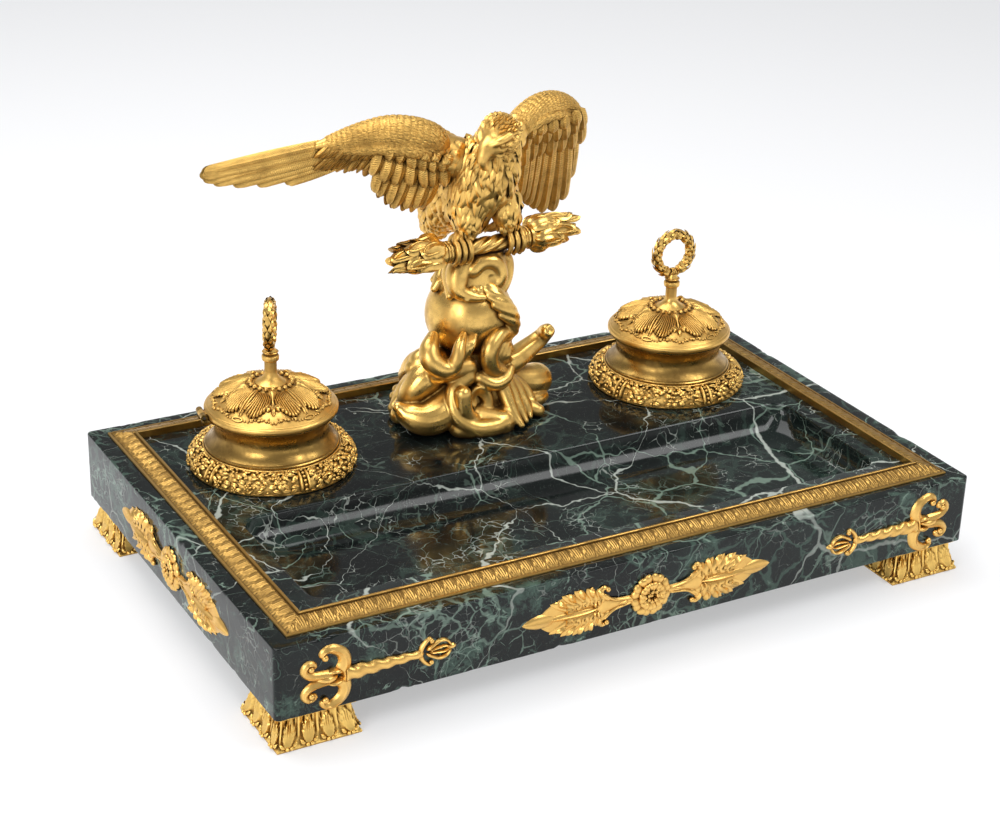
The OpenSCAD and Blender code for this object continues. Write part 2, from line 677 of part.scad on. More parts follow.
// Laurel wreath: a closed ring whose overlapping leaves climb both sides from the foot to the crown
wreath_leaves = 8;
wreath_steps = wreath_leaves * 4;
function wreath_swell(i) = let (u = min(i, wreath_steps - i) * wreath_leaves * 2 / wreath_steps)
    1.06 - 0.34 * (u - floor(u));
module wreath(side, az) {
    m = wreath_steps;
    n = 8;
    at_well(side) translate([0, 0, wreath_z]) rotate([0, 0, az]) rotate([90, 0, 0]) {
        polyhedron(points = [for (i = [0:m - 1], k = [0:n - 1]) let (a = 360 * i / m - 90,
            t = wreath_t * wreath_swell(i + 0.02), r = wreath_r + t * cos(360 * k / n))
            [r * cos(a), r * sin(a), t * sin(360 * k / n)]],
            faces = [for (i = [0:m - 1], k = [0:n - 1], h = [0, 1]) let (a = i * n + k, b = i * n + (k + 1) % n,
                c = (i + 1) % m * n + (k + 1) % n, d = (i + 1) % m * n + k) h == 0 ? [a, c, d] : [a, b, c]]);
        translate([0, -wreath_r, 0]) rotate([90, 0, 0]) cylinder(h = wreath_t + 1.2, r = 3.2, $fn = 24);
    }
}
module left_wreath() { color(gold) wreath(-1, left_wreath_az); }
module right_wreath() { color(gold) wreath(1, right_wreath_az); }

// The eagle group is modelled round the column's axis, with z = 0 on the marble
module at_eagle() {
    translate([0, eagle_y, top_z]) children();
}

// A closed skin over rings that each hold the same number of points
module skin(rings) {
    n = len(rings[0]);
    m = len(rings);
    polyhedron(points = [for (r = rings) each r], faces = concat([[for (i = [0:n - 1]) i]],
        [for (j = [0:m - 2], i = [0:n - 1]) [j * n + i, (j + 1) * n + i, (j + 1) * n + (i + 1) % n]],
        [for (j = [0:m - 2], i = [0:n - 1]) [j * n + i, (j + 1) * n + (i + 1) % n, j * n + (i + 1) % n]],
        [[for (i = [n - 1:-1:0]) (m - 1) * n + i]]));
}

// A roll that runs through balls given as [x, y, z, r]; side is a direction that it never runs along
module swell(balls, side = [0, 1, 0], n = 10, grow = 0) {
    last = len(balls) - 1;
    p = [for (b = balls) [b[0], b[1], b[2]]];
    skin([for (i = [0:last]) let (t = unit(p[min(i + 1, last)] - p[max(i - 1, 0)]), u = unit(cross(side, t)),
        v = cross(t, u)) [for (k = [0:n - 1]) p[i] + (balls[i][3] + grow)
        * (cos(360 * k / n) * u + sin(360 * k / n) * v)]]);
}

// Balls along a scroll that winds from angle a to b round c while its reach and thickness shrink
function scroll(c, e1, e2, a, b, reach, thick, m = 9) = [for (i = [0:m]) let (s = i / m, q = mix(a, b, s),
    r = mix(reach[0], reach[1], s), p = c + r * (cos(q) * e1 + sin(q) * e2))
    [p[0], p[1], p[2], mix(thick[0], thick[1], s) * (i == 0 || i == m ? 0.6 : 1)]];
function mix(a, b, t) = a + (b - a) * t;

module lobe(a, b, n = 8) {
    hull() for (q = [a, b]) translate([q[0], q[1], q[2]]) sphere(q[3], $fn = n);
}

module globe_space() {
    translate([0, 0, globe_z]) sphere(globe_r + seat_gap - 0.1, $fn = 48);
}

// Skirt of the clouds at height z and angle a
skirt_top = globe_z - globe_r + 2;
function skirt_r(z, a) = mix(cloud_r * 0.84, globe_r * 0.74, pow(z / skirt_top, 0.7))
    * (0.86 + 0.16 * abs(cos(4 * a + 1.6 * z)));

// Cloud base: a lobed skirt that cups the globe, with rolling lobes and scrolls round it
module cloud_base() {
    color(gold) at_eagle() difference() {
        intersection() {
            union() {
                skin([for (z = [0, 6, 14, 24, skirt_top]) [for (a = [0:11.25:348.75])
                    [skirt_r(z, a) * cos(a), skirt_r(z, a) * sin(a), z]]]);
                for (i = [0:8]) {
                    a = 40 * i + 12;
                    reach = cloud_r - 9 - 2.4 * (i % 2);
                    rise = 6 + 2 * (i % 3);
                    lobe([reach * cos(a), reach * sin(a), rise, 8 + i % 2],
                        [0.56 * reach * cos(a + 20), 0.56 * reach * sin(a + 20), rise + 15, 8]);
                }
                for (i = [0:5]) {
                    a = 60 * i + 20;
                    lobe([19 * cos(a), 19 * sin(a), 27, 8],
                        [23 * cos(a + 18), 23 * sin(a + 18), 36 + 3 * (i % 2), 6.5]);
                }
                swell(scroll([3, -34, 15], [1, 0, 0], [0, 0.35, 0.94], -50, 330, [12, 3], [6, 3.4]),
                    [0, 1, -0.3], 8);
                swell(scroll([-17, -26, 34], [0.7, -0.6, 0.2], [0, 0.2, 1], 200, 420, [7, 5], [6, 4.4], 6),
                    [0.5, 1, 0], 8);
                swell([[24, -14, 24, 9], [31, -13, 30, 6.5], [37, -12, 34, 5], [44, -11, 38, 4.6],
                    [48, -10, 42, 4.6], [49, -10, 46, 2.4]], [0, 1, 0], 8);
                swell(scroll([17, -28, 32], [0.6, 0.5, 0.2], [0, 0, 1], -60, 200, [9, 5], [6, 4.6], 7),
                    [0.6, -1, 0], 8);
            }
            translate([-100, -100, 0]) cube([200, 200, 100]);
        }
        globe_space();
        translate([0, 0, -1]) cylinder(h = 60, r = tie_r + bolt_clear, $fn = 20);
    }
}

module globe() {
    color(gold) at_eagle() difference() {
        translate([0, 0, globe_z]) sphere(globe_r);
        cylinder(h = 2 * globe_z, r = tie_r + bolt_clear);
    }
}

// Column of cloud between the globe and the thunderbolt, with scrolls that spill over the globe's right side
module cloud_column() {
    foot = column_foot - 4;
    tall = column_top - foot;
    color(gold) at_eagle() difference() {
        union() {
            skin([for (z = [0:tall / 5:tall]) [for (a = [0:18:342])
                let (r = mix(21, 16, z / tall) * (0.86 + 0.16 * abs(cos(2 * a + 4 * z))))
                [4 + r * cos(a), -2 + r * sin(a) * 0.9, foot + z]]]);
            swell(scroll([9, -15, foot + 14], [1, 0, 0], [0, 0.3, 0.95], 150, 470, [9, 2.5], [4.6, 3]),
                [0, 1, -0.3]);
            for (i = [0:2]) {
                f = -66 + 25 * i;
                reach = globe_r + 2.4;
                swell([for (q = [26, 40, 54, 68, 82, 94]) [reach * sin(q) * cos(f + 0.3 * q),
                    reach * sin(q) * sin(f + 0.3 * q), globe_z + reach * cos(q), q > 90 ? 2.4 : 5.4]],
                    [1, -1, 0.4], 8);
            }
            for (i = [0:5]) lobe([4 + 15 * cos(60 * i), -2 + 13 * sin(60 * i), foot + 5, 5.4],
                [4 + 12 * cos(60 * i + 30), -2 + 10 * sin(60 * i + 30), foot + 15, 4.6]);
            lobe([-9, -12, foot + 4, 6], [-4, -9, foot + 14, 6]);
            lobe([-8, 12, foot + 3, 7], [0, 9, foot + 16, 7]);
        }
        globe_space();
        translate([-60, -60, column_top]) cube([120, 120, 60]);
        translate([0, 0, foot - 30]) cylinder(h = tie_top - foot + 30, r = tie_r + 0.1, $fn = 20);
        bolt_grip(bolt_r + seat_gap - 0.1);
    }
}

module at_bolt() {
    translate([3, -bolt_fore, bolt_z]) rotate([0, 0, bolt_yaw]) children();
}
module bolt_grip(r) {
    at_bolt() rotate([0, 90, 0]) cylinder(h = bolt_l * 0.72, r = r, center = true, $fn = 32);
}

// Thunderbolt: a twisted grip between two bundles of leaf-like flames
module thunderbolt() {
    color(gold) at_eagle() at_bolt() {
        rotate([0, 90, 0]) translate([0, 0, -bolt_l * 0.22])
            linear_extrude(bolt_l * 0.44, twist = 240, slices = 10) for (i = [0:2]) rotate(120 * i) translate([bolt_r * 0.42, 0]) circle(bolt_r * 0.56, $fn = 8);
        for (s = [-1, 1]) {
            for (x = [0.19, 0.225]) translate([s * bolt_l * x, 0, 0]) rotate([0, 90, 0])
                cylinder(h = 3.4, r = bolt_r + 1.8, center = true, $fn = 16);
            for (i = [0:5]) {
                a = 60 * i + 20;
                near = [s * bolt_l * 0.24, 3.4 * cos(a), 3.4 * sin(a)];
                wide = [s * bolt_l * (0.32 + 0.02 * (i % 2)), 7.4 * cos(a), 7.4 * sin(a)];
                tip = [s * bolt_l * (0.45 - 0.035 * (i % 3)), 9.4 * cos(a + 24), 9.4 * sin(a + 24)];
                lobe([near[0], near[1], near[2], 3], [wide[0], wide[1], wide[2], 3.8], 6);
                lobe([wide[0], wide[1], wide[2], 3.8], [tip[0], tip[1], tip[2], 0.9], 6);
            }
            lobe([s * bolt_l * 0.26, 0, 0, 6], [s * (bolt_l / 2 - 1), 0, 1.5, 1]);
        }
    }
}

// Height on the eagle as a share of the way from the thunderbolt to the crown
function up(share) = bolt_z + eagle_h * share;

// Trunk, neck and crown; grow makes room for the wings that seat against it
module eagle_trunk(grow = 0) {
    swell([[-9, 27, up(0.01), 8], [-8, 23, up(0.08), 13.5], [-5, 15, up(0.19), 17], [-1, 5, up(0.3), 19],
        [1.5, -4, up(0.41), 19.8], [2.5, -11, up(0.52), 19], [3.5, -16, up(0.63), 16.5],
        [4, -20, up(0.73), 13.4], [3.5, -23, up(0.82), 11.6], [2.5, -25, up(0.9), 10.6],
        [2, -26, up(0.965), 7.6], [2, -26, up(1), 3]], [0, 1, -1], 16, grow);
    // Scapulars that carry the wings
    swell([[0, -6, up(0.56), 14], [-16, -5, up(0.66), 12.5], [-26, -5, up(0.74), 8.6], [-29, -5, up(0.77), 5]],
        [0, 1, 0], 10, grow);
    swell([[4, -6, up(0.56), 13], [18, -3, up(0.68), 11], [26, -1, up(0.78), 8], [28, 0, up(0.82), 5]],
        [0, 1, 0], 10, grow);
}

// Eagle: trunk, hooked beak, feathered thighs, talons round the grip and a spread tail
module eagle_body() {
    color(gold) at_eagle() difference() {
        union() {
            eagle_trunk();
            swell([[1, -31, up(0.87), 7.5], [-4, -36, up(0.84), 6], [-9, -39, up(0.79), 4],
                [-12.5, -39, up(0.74), 2.2], [-14, -37, up(0.69), 0.8]], [0, 0, 1], 8);
            for (x = [-10, 13]) {
                swell([[x, -2, up(0.42), 9], [x, -6, up(0.3), 13], [x, -9, up(0.19), 9.5],
                    [x, -10, up(0.1), 5.4], [x, -bolt_fore, bolt_z + 6, 4]], [0, 1, 0.4], 10);
                for (d = [-6, 0, 6]) {
                    lobe([x, -bolt_fore - 1, bolt_z + 7, 3.4], [x + d, -bolt_fore - 7.6, bolt_z + 3, 2.4]);
                    lobe([x + d, -bolt_fore - 7.6, bolt_z + 3, 2.4], [x + d, -bolt_fore - 7, bolt_z - 4, 0.8]);
                }
            }
            // Tail feathers fan down behind the column
            for (i = [-2:2]) feather([-1 + i * 3, 13, up(0.22)],
                [-2 + i * 9, 29 - abs(i), bolt_z - 8 + 2 * abs(i)], 12, [i * 0.1, 1, 0.5], 6);
        }
        bolt_grip(bolt_r + seat_gap - 0.1);
        translate([0, 0, column_top - 60]) cylinder(h = 60 + seat_gap, r = 24, $fn = 32);
    }
}

// Places a child drawn along +X so that it runs from a to b with its +Z towards n
module lay(a, b, n) {
    x = unit(b - a);
    y = unit(cross(n, x));
    z = cross(x, y);
    multmatrix([[x[0], y[0], z[0], a[0]], [x[1], y[1], z[1], a[1]], [x[2], y[2], z[2], a[2]], [0, 0, 0, 1]])
        children();
}

// One feather from a to b, w across, round at the tip and ridged along its quill
module feather(a, b, w, n, t = 2.4) {
    l = norm(b - a);
    lay(a, b, n) hull() {
        translate([0, 0, -t / 2]) linear_extrude(t / 2) polygon([[0, -0.3 * w], [0.6 * l, -0.5 * w],
            [l - 0.3 * w, -0.4 * w], [l, -0.12 * w], [l, 0.12 * w], [l - 0.3 * w, 0.4 * w],
            [0.6 * l, 0.5 * w], [0, 0.3 * w]]);
        translate([0, -0.3, 0]) cube([l - 0.4 * w, 0.6, t / 2]);
    }
}

// Feathers whose roots and tips follow two lines of points, each raised by lift towards n
module feather_row(count, roots, tips, w, n, lift = 0) {
    for (i = [0:count - 1]) {
        s = i / (count - 1);
        off = unit(n) * (lift + (i % 2) * 0.8);
        feather(along(roots, s) + off, along(tips, s) + off, w, n);
    }
}
function along(line, s) = let (q = s * (len(line) - 1), i = min(floor(q), len(line) - 2))
    mix(line[i], line[i + 1], q - i);

// Wing on the viewer's left: raised arm, coverts, secondaries and long spread primaries
module eagle_wing_left() {
    k = wing_reach / 160;
    n = [0.1, -1, 0.3];
    color(gold) at_eagle() difference() {
        union() {
            swell([[-24, -7, up(0.72), 6], [-29, -9, up(0.79), 8.4], [-40, -9, up(0.85), 9.4],
                [-54, -5, up(0.88), 9.2], [-68 * k, 0, up(0.865), 7.6], [-82 * k, 4, up(0.81), 5.8],
                [-95 * k, 7, up(0.755), 3]], [0, 1, 0], 10);
            lobe([-80 * k, 4, up(0.8), 4], [-88 * k, 7, up(0.73), 3]);
            feather_row(6, [[-80 * k, 5, up(0.8)], [-74 * k, 6, up(0.7)]], [[-160 * k, 20, up(0.65)],
                [-155 * k, 20, up(0.59)], [-138 * k, 18, up(0.53)], [-102 * k, 13, up(0.56)]], 8, n);
            feather_row(6, [[-84 * k, 5, up(0.8)], [-50 * k, -1, up(0.82)]], [[-97 * k, 9, up(0.64)],
                [-62 * k, 3, up(0.6)]], 8.4, n, 1.2);
            feather_row(5, [[-56 * k, -2, up(0.78)], [-26, -6, up(0.62)]], [[-60 * k, 3, up(0.44)],
                [-50 * k, 1, up(0.31)], [-34, -3, up(0.24)]], 10, n);
            feather_row(5, [[-56 * k, -4, up(0.84)], [-26, -8, up(0.7)]], [[-60 * k, 0, up(0.58)],
                [-32, -5, up(0.42)]], 9.4, n, 1.8);
            hull() for (q = [[-30, -5, 0.74, 4], [-80 * k, 5, 0.79, 3.6], [-84 * k, 7, 0.66, 1.4],
                [-56 * k, 1, 0.5, 1.4], [-34, -3, 0.36, 1.4]]) translate([q[0], q[1], up(q[2])]) sphere(q[3], $fn = 8);
        }
        eagle_trunk(seat_gap - 0.1);
    }
}

// Wing on the viewer's right: arm swept back and primaries that hang from the wrist
module eagle_wing_right() {
    k = wing_reach / 160;
    n = [0.1, -1, -0.2];
    color(gold) at_eagle() difference() {
        union() {
            swell([[22, -3, up(0.72), 7], [32 * k, 1, up(0.8), 7.6], [45 * k, 6, up(0.86), 7.6],
                [58 * k, 10, up(0.87), 7], [70 * k, 13, up(0.81), 6.6], [78 * k, 15, up(0.71), 5.6],
                [81 * k, 18, up(0.59), 4]], [0, 1, 0], 10);
            feather_row(6, [[78 * k, 16, up(0.74)], [36 * k, 5, up(0.74)]], [[81 * k, 28, up(0.04)],
                [68 * k, 28, up(-0.04)], [54 * k, 22, up(0.06)], [36 * k, 16, up(0.22)]], 11, n);
            feather_row(5, [[75 * k, 13, up(0.82)], [31, 3, up(0.78)]], [[79 * k, 20, up(0.42)],
                [34, 10, up(0.34)]], 13, n, 1.4);
            hull() for (q = [[34, 4, 0.78, 4], [70 * k, 14, 0.8, 4], [74 * k, 19, 0.45, 1.6],
                [38, 10, 0.42, 1.6]])
                translate([q[0], q[1], up(q[2])]) sphere(q[3], $fn = 8);
        }
        eagle_trunk(seat_gap - 0.1);
        bolt_grip(bolt_r + 9);
    }
}

// Rod up the middle of the group, and its nut under the slab
module tie_rod() {
    color("gray") at_eagle() translate([0, 0, -slab_t + 2])
        cylinder(h = slab_t - 2 + tie_top - 1, r = tie_r, $fn = 32);
}
module tie_nut() { color("gray") slab_nut(0, eagle_y, tie_r); }

marble_slab();
frame_front();
frame_back();
frame_left();
frame_right();
foot_front_left();
foot_front_right();
foot_back_left();
foot_back_right();
foot_screws();
front_palmette_left();
front_palmette_right();
front_rosette();
left_palmette_front();
left_palmette_back();
left_rosette();
right_palmette_front();
right_palmette_back();
right_rosette();
torch_left();
torch_right();
left_flange();
left_well_body();
left_ink_liner();
left_well_bolt();
left_well_nut();
right_flange();
right_well_body();
right_ink_liner();
right_well_bolt();
right_well_nut();
left_lid();
left_hinge_pin();
left_finial_stem();
left_wreath();
left_finial_nut();
right_lid();
right_hinge_pin();
right_finial_stem();
right_wreath();
right_finial_nut();
cloud_base();
globe();
cloud_column();
thunderbolt();
eagle_body();
eagle_wing_left();
eagle_wing_right();
tie_rod();
tie_nut();
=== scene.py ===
"""A desk inkstand: a marble slab with gilt mounts, two inkwells and an eagle over a globe in clouds.

Sizes are in millimetres on the desk's axes, and a finished piece is brought to metres.
"""

import random
from functools import partial
from math import atan2, cos, exp, hypot, pi, radians, sin, sqrt

import bmesh
import bpy
from mathutils import Matrix, Vector, noise
from mathutils.bvhtree import BVHTree


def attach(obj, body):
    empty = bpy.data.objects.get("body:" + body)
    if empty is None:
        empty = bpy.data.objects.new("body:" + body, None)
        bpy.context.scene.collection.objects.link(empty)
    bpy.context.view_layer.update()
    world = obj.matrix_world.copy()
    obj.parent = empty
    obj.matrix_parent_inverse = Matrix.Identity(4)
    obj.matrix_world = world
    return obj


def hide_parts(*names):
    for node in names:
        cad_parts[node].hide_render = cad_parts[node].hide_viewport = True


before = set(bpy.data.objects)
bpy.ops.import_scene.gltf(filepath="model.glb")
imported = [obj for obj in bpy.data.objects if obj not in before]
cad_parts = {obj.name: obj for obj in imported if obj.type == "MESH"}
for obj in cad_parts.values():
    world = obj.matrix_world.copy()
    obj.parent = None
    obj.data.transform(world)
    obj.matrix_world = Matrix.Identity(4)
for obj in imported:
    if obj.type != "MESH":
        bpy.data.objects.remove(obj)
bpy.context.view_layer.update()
scene = bpy.context.scene
scene.view_settings.view_transform = "Standard"
MM = 0.001
SEAM = 1e-4

# The camera
# It stands to the left in front of the inkstand and looks down on it, as the photograph was taken.
# Its focal length and its centre are in pixels of a picture 1000 wide and 817 high.
picture_w, picture_h = 1000, 817
focal, centre_x, centre_y = 2130.96, 498.16, 409.12
azimuth, elevation, tilt = radians(-29.65), radians(24.67), radians(1.70)
distance, slide_x, slide_y = 1226.78, -14.70, 25.77
look_at = Vector((0, 1.9, 60))
away = Vector((sin(azimuth) * cos(elevation), -cos(azimuth) * cos(elevation), sin(elevation)))
level = Vector((cos(azimuth), sin(azimuth), 0))
steep = away.cross(level)
cam_x = level * cos(tilt) + steep * sin(tilt)
cam_y = steep * cos(tilt) - level * sin(tilt)
stand = look_at + away * distance + cam_x * slide_x + cam_y * slide_y
camera = bpy.data.objects.new("camera", bpy.data.cameras.new("camera"))
camera.matrix_world = Matrix.Translation(stand * MM) @ Matrix((cam_x, cam_y, away)).transposed().to_4x4()
camera.data.sensor_width = 36
camera.data.lens = focal / picture_w * camera.data.sensor_width
camera.data.shift_x = (picture_w / 2 - centre_x) / picture_w
camera.data.shift_y = (centre_y - picture_h / 2) / picture_w
camera.data.clip_start, camera.data.clip_end = 0.05, 20
scene.collection.objects.link(camera)
scene.camera = camera


# The studio: white floor, white surroundings and soft lamps
# The floor and the surroundings look white to the camera, and so does their lower part in the gilding, under a
# dimmer ceiling. They give less diffuse light of their own. A broad lamp hangs overhead, one stands at the left
# and a long one leans in from the front, where the curved walls of the pen tray mirror it.
def link(tree, *pairs):
    """Joins sockets of a node tree: each pair is an output and an input."""
    for out, into in pairs:
        tree.links.new(out, into)


def node(tree, kind, **values):
    """A new node. A value's name is an input's name or, if there is none, one of the node's settings."""
    made = tree.nodes.new(kind)
    for name, value in values.items():
        title = name.replace("_", " ").title()
        if title in made.inputs:
            made.inputs[title].default_value = value
        else:
            setattr(made, name, value)
    return made


def seen_directly(tree):
    """1 for rays from the camera, from a mirror or through glass."""
    path = node(tree, "ShaderNodeLightPath")
    either = node(tree, "ShaderNodeMath", operation="MAXIMUM")
    any_of = node(tree, "ShaderNodeMath", operation="MAXIMUM")
    link(tree, (path.outputs["Is Camera Ray"], either.inputs[0]), (path.outputs["Is Glossy Ray"], either.inputs[1]),
         (either.outputs[0], any_of.inputs[0]), (path.outputs["Is Transmission Ray"], any_of.inputs[1]))
    return any_of.outputs[0]


world = bpy.data.worlds.new("studio")
scene.world = world
world.use_nodes = True
tree = world.node_tree
tree.nodes.clear()
bright = node(tree, "ShaderNodeBackground", color=(1, 1, 1, 1), strength=1)
height = node(tree, "ShaderNodeSeparateXYZ")
ceiling = node(tree, "ShaderNodeMapRange", interpolation_type="SMOOTHSTEP", from_min=0.08, from_max=0.42, to_min=1,
               to_max=0.3)
unless_mirrored = node(tree, "ShaderNodeMath", operation="SUBTRACT")
unless_mirrored.inputs[0].default_value = 1
shown = node(tree, "ShaderNodeMath", operation="MAXIMUM")
link(tree, (node(tree, "ShaderNodeTexCoord").outputs["Generated"], height.inputs[0]),
     (height.outputs["Z"], ceiling.inputs["Value"]),
     (node(tree, "ShaderNodeLightPath").outputs["Is Glossy Ray"], unless_mirrored.inputs[1]),
     (ceiling.outputs[0], shown.inputs[0]), (unless_mirrored.outputs[0], shown.inputs[1]),
     (shown.outputs[0], bright.inputs["Strength"]))
soft = node(tree, "ShaderNodeBackground", color=(0.92, 0.95, 1, 1), strength=0.42)
choose = node(tree, "ShaderNodeMixShader")
out = node(tree, "ShaderNodeOutputWorld")
link(tree, (seen_directly(tree), choose.inputs[0]), (soft.outputs[0], choose.inputs[1]),
     (bright.outputs[0], choose.inputs[2]), (choose.outputs[0], out.inputs[0]))

floor_half = 4.0
bm = bmesh.new()
bmesh.ops.create_grid(bm, x_segments=1, y_segments=1, size=floor_half)
floor = bpy.data.objects.new("floor", bpy.data.meshes.new("floor"))
bm.to_mesh(floor.data)
bm.free()
paper = bpy.data.materials.new("white_paper")
paper.use_nodes = True
tree = paper.node_tree
tree.nodes.clear()
matt = node(tree, "ShaderNodeBsdfDiffuse", color=(0.93, 0.93, 0.94, 1))
glow = node(tree, "ShaderNodeEmission", color=(1, 1, 1, 1), strength=1)
lift = node(tree, "ShaderNodeMath", operation="MULTIPLY")
lift.inputs[1].default_value = 0.45
blend = node(tree, "ShaderNodeMixShader")
out = node(tree, "ShaderNodeOutputMaterial")
link(tree, (seen_directly(tree), lift.inputs[0]), (lift.outputs[0], blend.inputs[0]),
     (matt.outputs[0], blend.inputs[1]), (glow.outputs[0], blend.inputs[2]), (blend.outputs[0], out.inputs[0]))
floor.data.materials.append(paper)
scene.collection.objects.link(floor)

for name, at, width, deep, watts in [("lamp_above", (-0.25, 0.35, 1.35), 1.1, 1.1, 15),
                                     ("lamp_left", (-1.3, -0.7, 0.8), 0.7, 0.7, 9),
                                     ("lamp_front", (0.66, -0.62, 1.2), 1.0, 0.4, 7)]:
    lamp = bpy.data.objects.new(name, bpy.data.lights.new(name, "AREA"))
    lamp.data.shape, lamp.data.size, lamp.data.size_y = "RECTANGLE", width, deep
    lamp.data.energy = watts
    lamp.location = at
    lamp.rotation_euler = (Vector(at) - Vector((0, 0, 0.1))).to_track_quat("Z", "Y").to_euler()
    scene.collection.objects.link(lamp)


# The slab
# One block of polished green marble with a coved pen tray sunk in it. Its edges are just eased and a little
# chipped, and three bores with nut pockets and four screw holes come in from below.
slab_w, slab_d, slab_t, slab_corner = 430, 273, 41, 3
foot_h, mid_y = 19, 1.9
top_z = foot_h + slab_t
front_y, back_y = mid_y - slab_d / 2, mid_y + slab_d / 2
tray_l, tray_w, tray_depth, tray_corner = 356, 96, 16.5, 10
tray_y0, tray_cove, tray_back_cove = front_y + 36.4, 14, 22
well_x, well_y, eagle_y = 133, mid_y + 55, mid_y + 70
foot_x, foot_y = 191.2, 112.7


def new_mesh():
    """An empty bmesh with a map for patterns that follow a surface."""
    bm = bmesh.new()
    bm.loops.layers.uv.new("along")
    return bm


poured = bpy.data.meshes.new("poured")


def pour(bm, part):
    """Adds a small part to a piece and lets it go. An operator slows down as its mesh grows, so parts start alone."""
    part.to_mesh(poured)
    part.free()
    bm.from_mesh(poured)


def surface(bm, columns, rows, place, length=1.0):
    """A grid with its corners moved to place(u, v), for u and v from 0 to 1, and merged where u ends and begins."""
    part = new_mesh()
    bmesh.ops.create_grid(part, x_segments=columns, y_segments=rows, size=0.5, calc_uvs=True)
    along = part.loops.layers.uv.active
    for face in part.faces:
        for corner in face.loops:
            corner[along].uv.y *= length
    for v in part.verts:
        v.co = place(v.co.x + 0.5, v.co.y + 0.5)
    bmesh.ops.remove_doubles(part, verts=part.verts, dist=SEAM)
    pour(bm, part)


def shift(bm, way):
    """Moves a whole piece."""
    bmesh.ops.translate(bm, vec=way, verts=bm.verts)


def piece(bm, name, material, body, replaces=(), crease=38):
    """Makes a bmesh in millimetres a finished piece that rides on a body of the model."""
    bmesh.ops.scale(bm, vec=(MM, MM, MM), verts=bm.verts)
    bmesh.ops.recalc_face_normals(bm, faces=bm.faces)
    sharp = radians(crease)
    for face in bm.faces:
        face.smooth = True
    for edge in bm.edges:
        edge.smooth = edge.calc_face_angle(0) < sharp
    obj = bpy.data.objects.new(name, bpy.data.meshes.new(name))
    bm.to_mesh(obj.data)
    bm.free()
    obj.data.materials.append(material)
    scene.collection.objects.link(obj)
    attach(obj, body)
    if replaces:
        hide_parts(*replaces)
    return obj


def loop_point(share, x0, x1, y0, y1, r, long_steps, short_steps, corner_steps):
    """A point on a rounded rectangle, anticlockwise from its front left corner; share runs from 0 to 1."""
    runs = [long_steps, corner_steps, short_steps, corner_steps] * 2
    at = share * sum(runs)
    corners = [(x1 - r, y0 + r), (x1 - r, y1 - r), (x0 + r, y1 - r), (x0 + r, y0 + r)]
    for k, run in enumerate(runs):
        if at <= run or k == 7:
            break
        at -= run
    t, side = at / run, k // 2
    if k % 2:
        a = radians(90 * side - 90 + 90 * t)
        return corners[side][0] + r * cos(a), corners[side][1] + r * sin(a)
    a = radians(90 * side - 90)
    start, end = corners[side - 1], corners[side]
    return (start[0] + (end[0] - start[0]) * t + r * cos(a), start[1] + (end[1] - start[1]) * t + r * sin(a))


long_steps, short_steps, corner_steps = 250, 158, 7
slab_columns = 2 * (long_steps + short_steps + 2 * corner_steps)
ease = 0.7
tray_ease = 1.0


def slab_rows():
    """Rows of the slab's skin from the tray's middle outwards: inset from each edge, corner radius, height and a
    share of chipping."""
    rows = []
    for k in range(19):
        if k < 4:
            inset, back_inset, h, r = tray_cove + 22 - 6 * k, tray_back_cove + 14 - 4 * k, 0, 5
        else:
            h = (tray_depth - tray_ease) * (1 - cos(radians(90 * (k - 4) / 14)))
            inset = tray_cove - sqrt(tray_cove ** 2 - max(0, tray_cove - h) ** 2)
            back_inset = tray_back_cove - sqrt(tray_back_cove ** 2 - max(0, tray_back_cove - h) ** 2)
            r = tray_corner + 0.55 * inset
        rows.append((-tray_l / 2 + inset, tray_l / 2 - inset, tray_y0 + inset, tray_y0 + tray_w - back_inset,
                     r, top_z - tray_depth + h, 0))
    for k in range(1, 5):
        a = radians(22.5 * k)
        grow = tray_ease * (1 - cos(a))
        rows.append((-tray_l / 2 - grow, tray_l / 2 + grow, tray_y0 - grow, tray_y0 + tray_w + grow,
                     tray_corner + grow, top_z - tray_ease * (1 - sin(a)), 0))
    x, y0, y1 = slab_w / 2, front_y, back_y
    rows.append((-x + 5, x - 5, y0 + 5, y1 - 5, slab_corner, top_z, 0))
    for k in range(7):
        a = radians(15 * k)
        rows.append((-x, x, y0, y1, slab_corner, top_z, (1 - sin(a), 1 - cos(a))))
    for k in range(1, 5):
        rows.append((-x, x, y0, y1, slab_corner, top_z - slab_t * k / 5, 0))
    for k in range(7):
        a = radians(15 * k)
        rows.append((-x, x, y0, y1, slab_corner, foot_h, (1 - cos(a), sin(a) - 1)))
    return rows


def slab_place(rows):
    """Places the slab's skin by its rows, with chips along the edges."""
    def place(u, v):
        x0, x1, y0, y1, r, z, edge = rows[min(round(v * (len(rows) - 1)), len(rows) - 1)]
        x, y = loop_point(u, x0, x1, y0, y1, r, long_steps, short_steps, corner_steps)
        if edge:
            chip = noise.noise(Vector((x * 0.045, y * 0.045, z * 0.05))) - 0.16
            small = noise.noise(Vector((x * 0.23, y * 0.23, z * 0.1 + 7)))
            size = ease + max(0, chip) * 7 * max(0, 0.35 + small) + 0.25 * abs(small)
            inset, drop = edge[0] * size, edge[1] * size
            cx, cy = max(-slab_w / 2 + 4, min(slab_w / 2 - 4, x)), max(front_y + 4, min(back_y - 4, y))
            out = Vector((x - cx, y - cy)).normalized()
            x, y, z = x - out.x * inset, y - out.y * inset, z - drop
        return Vector((x, y, z))
    return place


def circle(bm, x, y, z, r, segments=40):
    """The edges of a level circle that is added to a piece."""
    ring = bmesh.ops.create_circle(bm, segments=segments, radius=r, matrix=Matrix.Translation((x, y, z)))["verts"]
    return list({e for v in ring for e in v.link_edges})


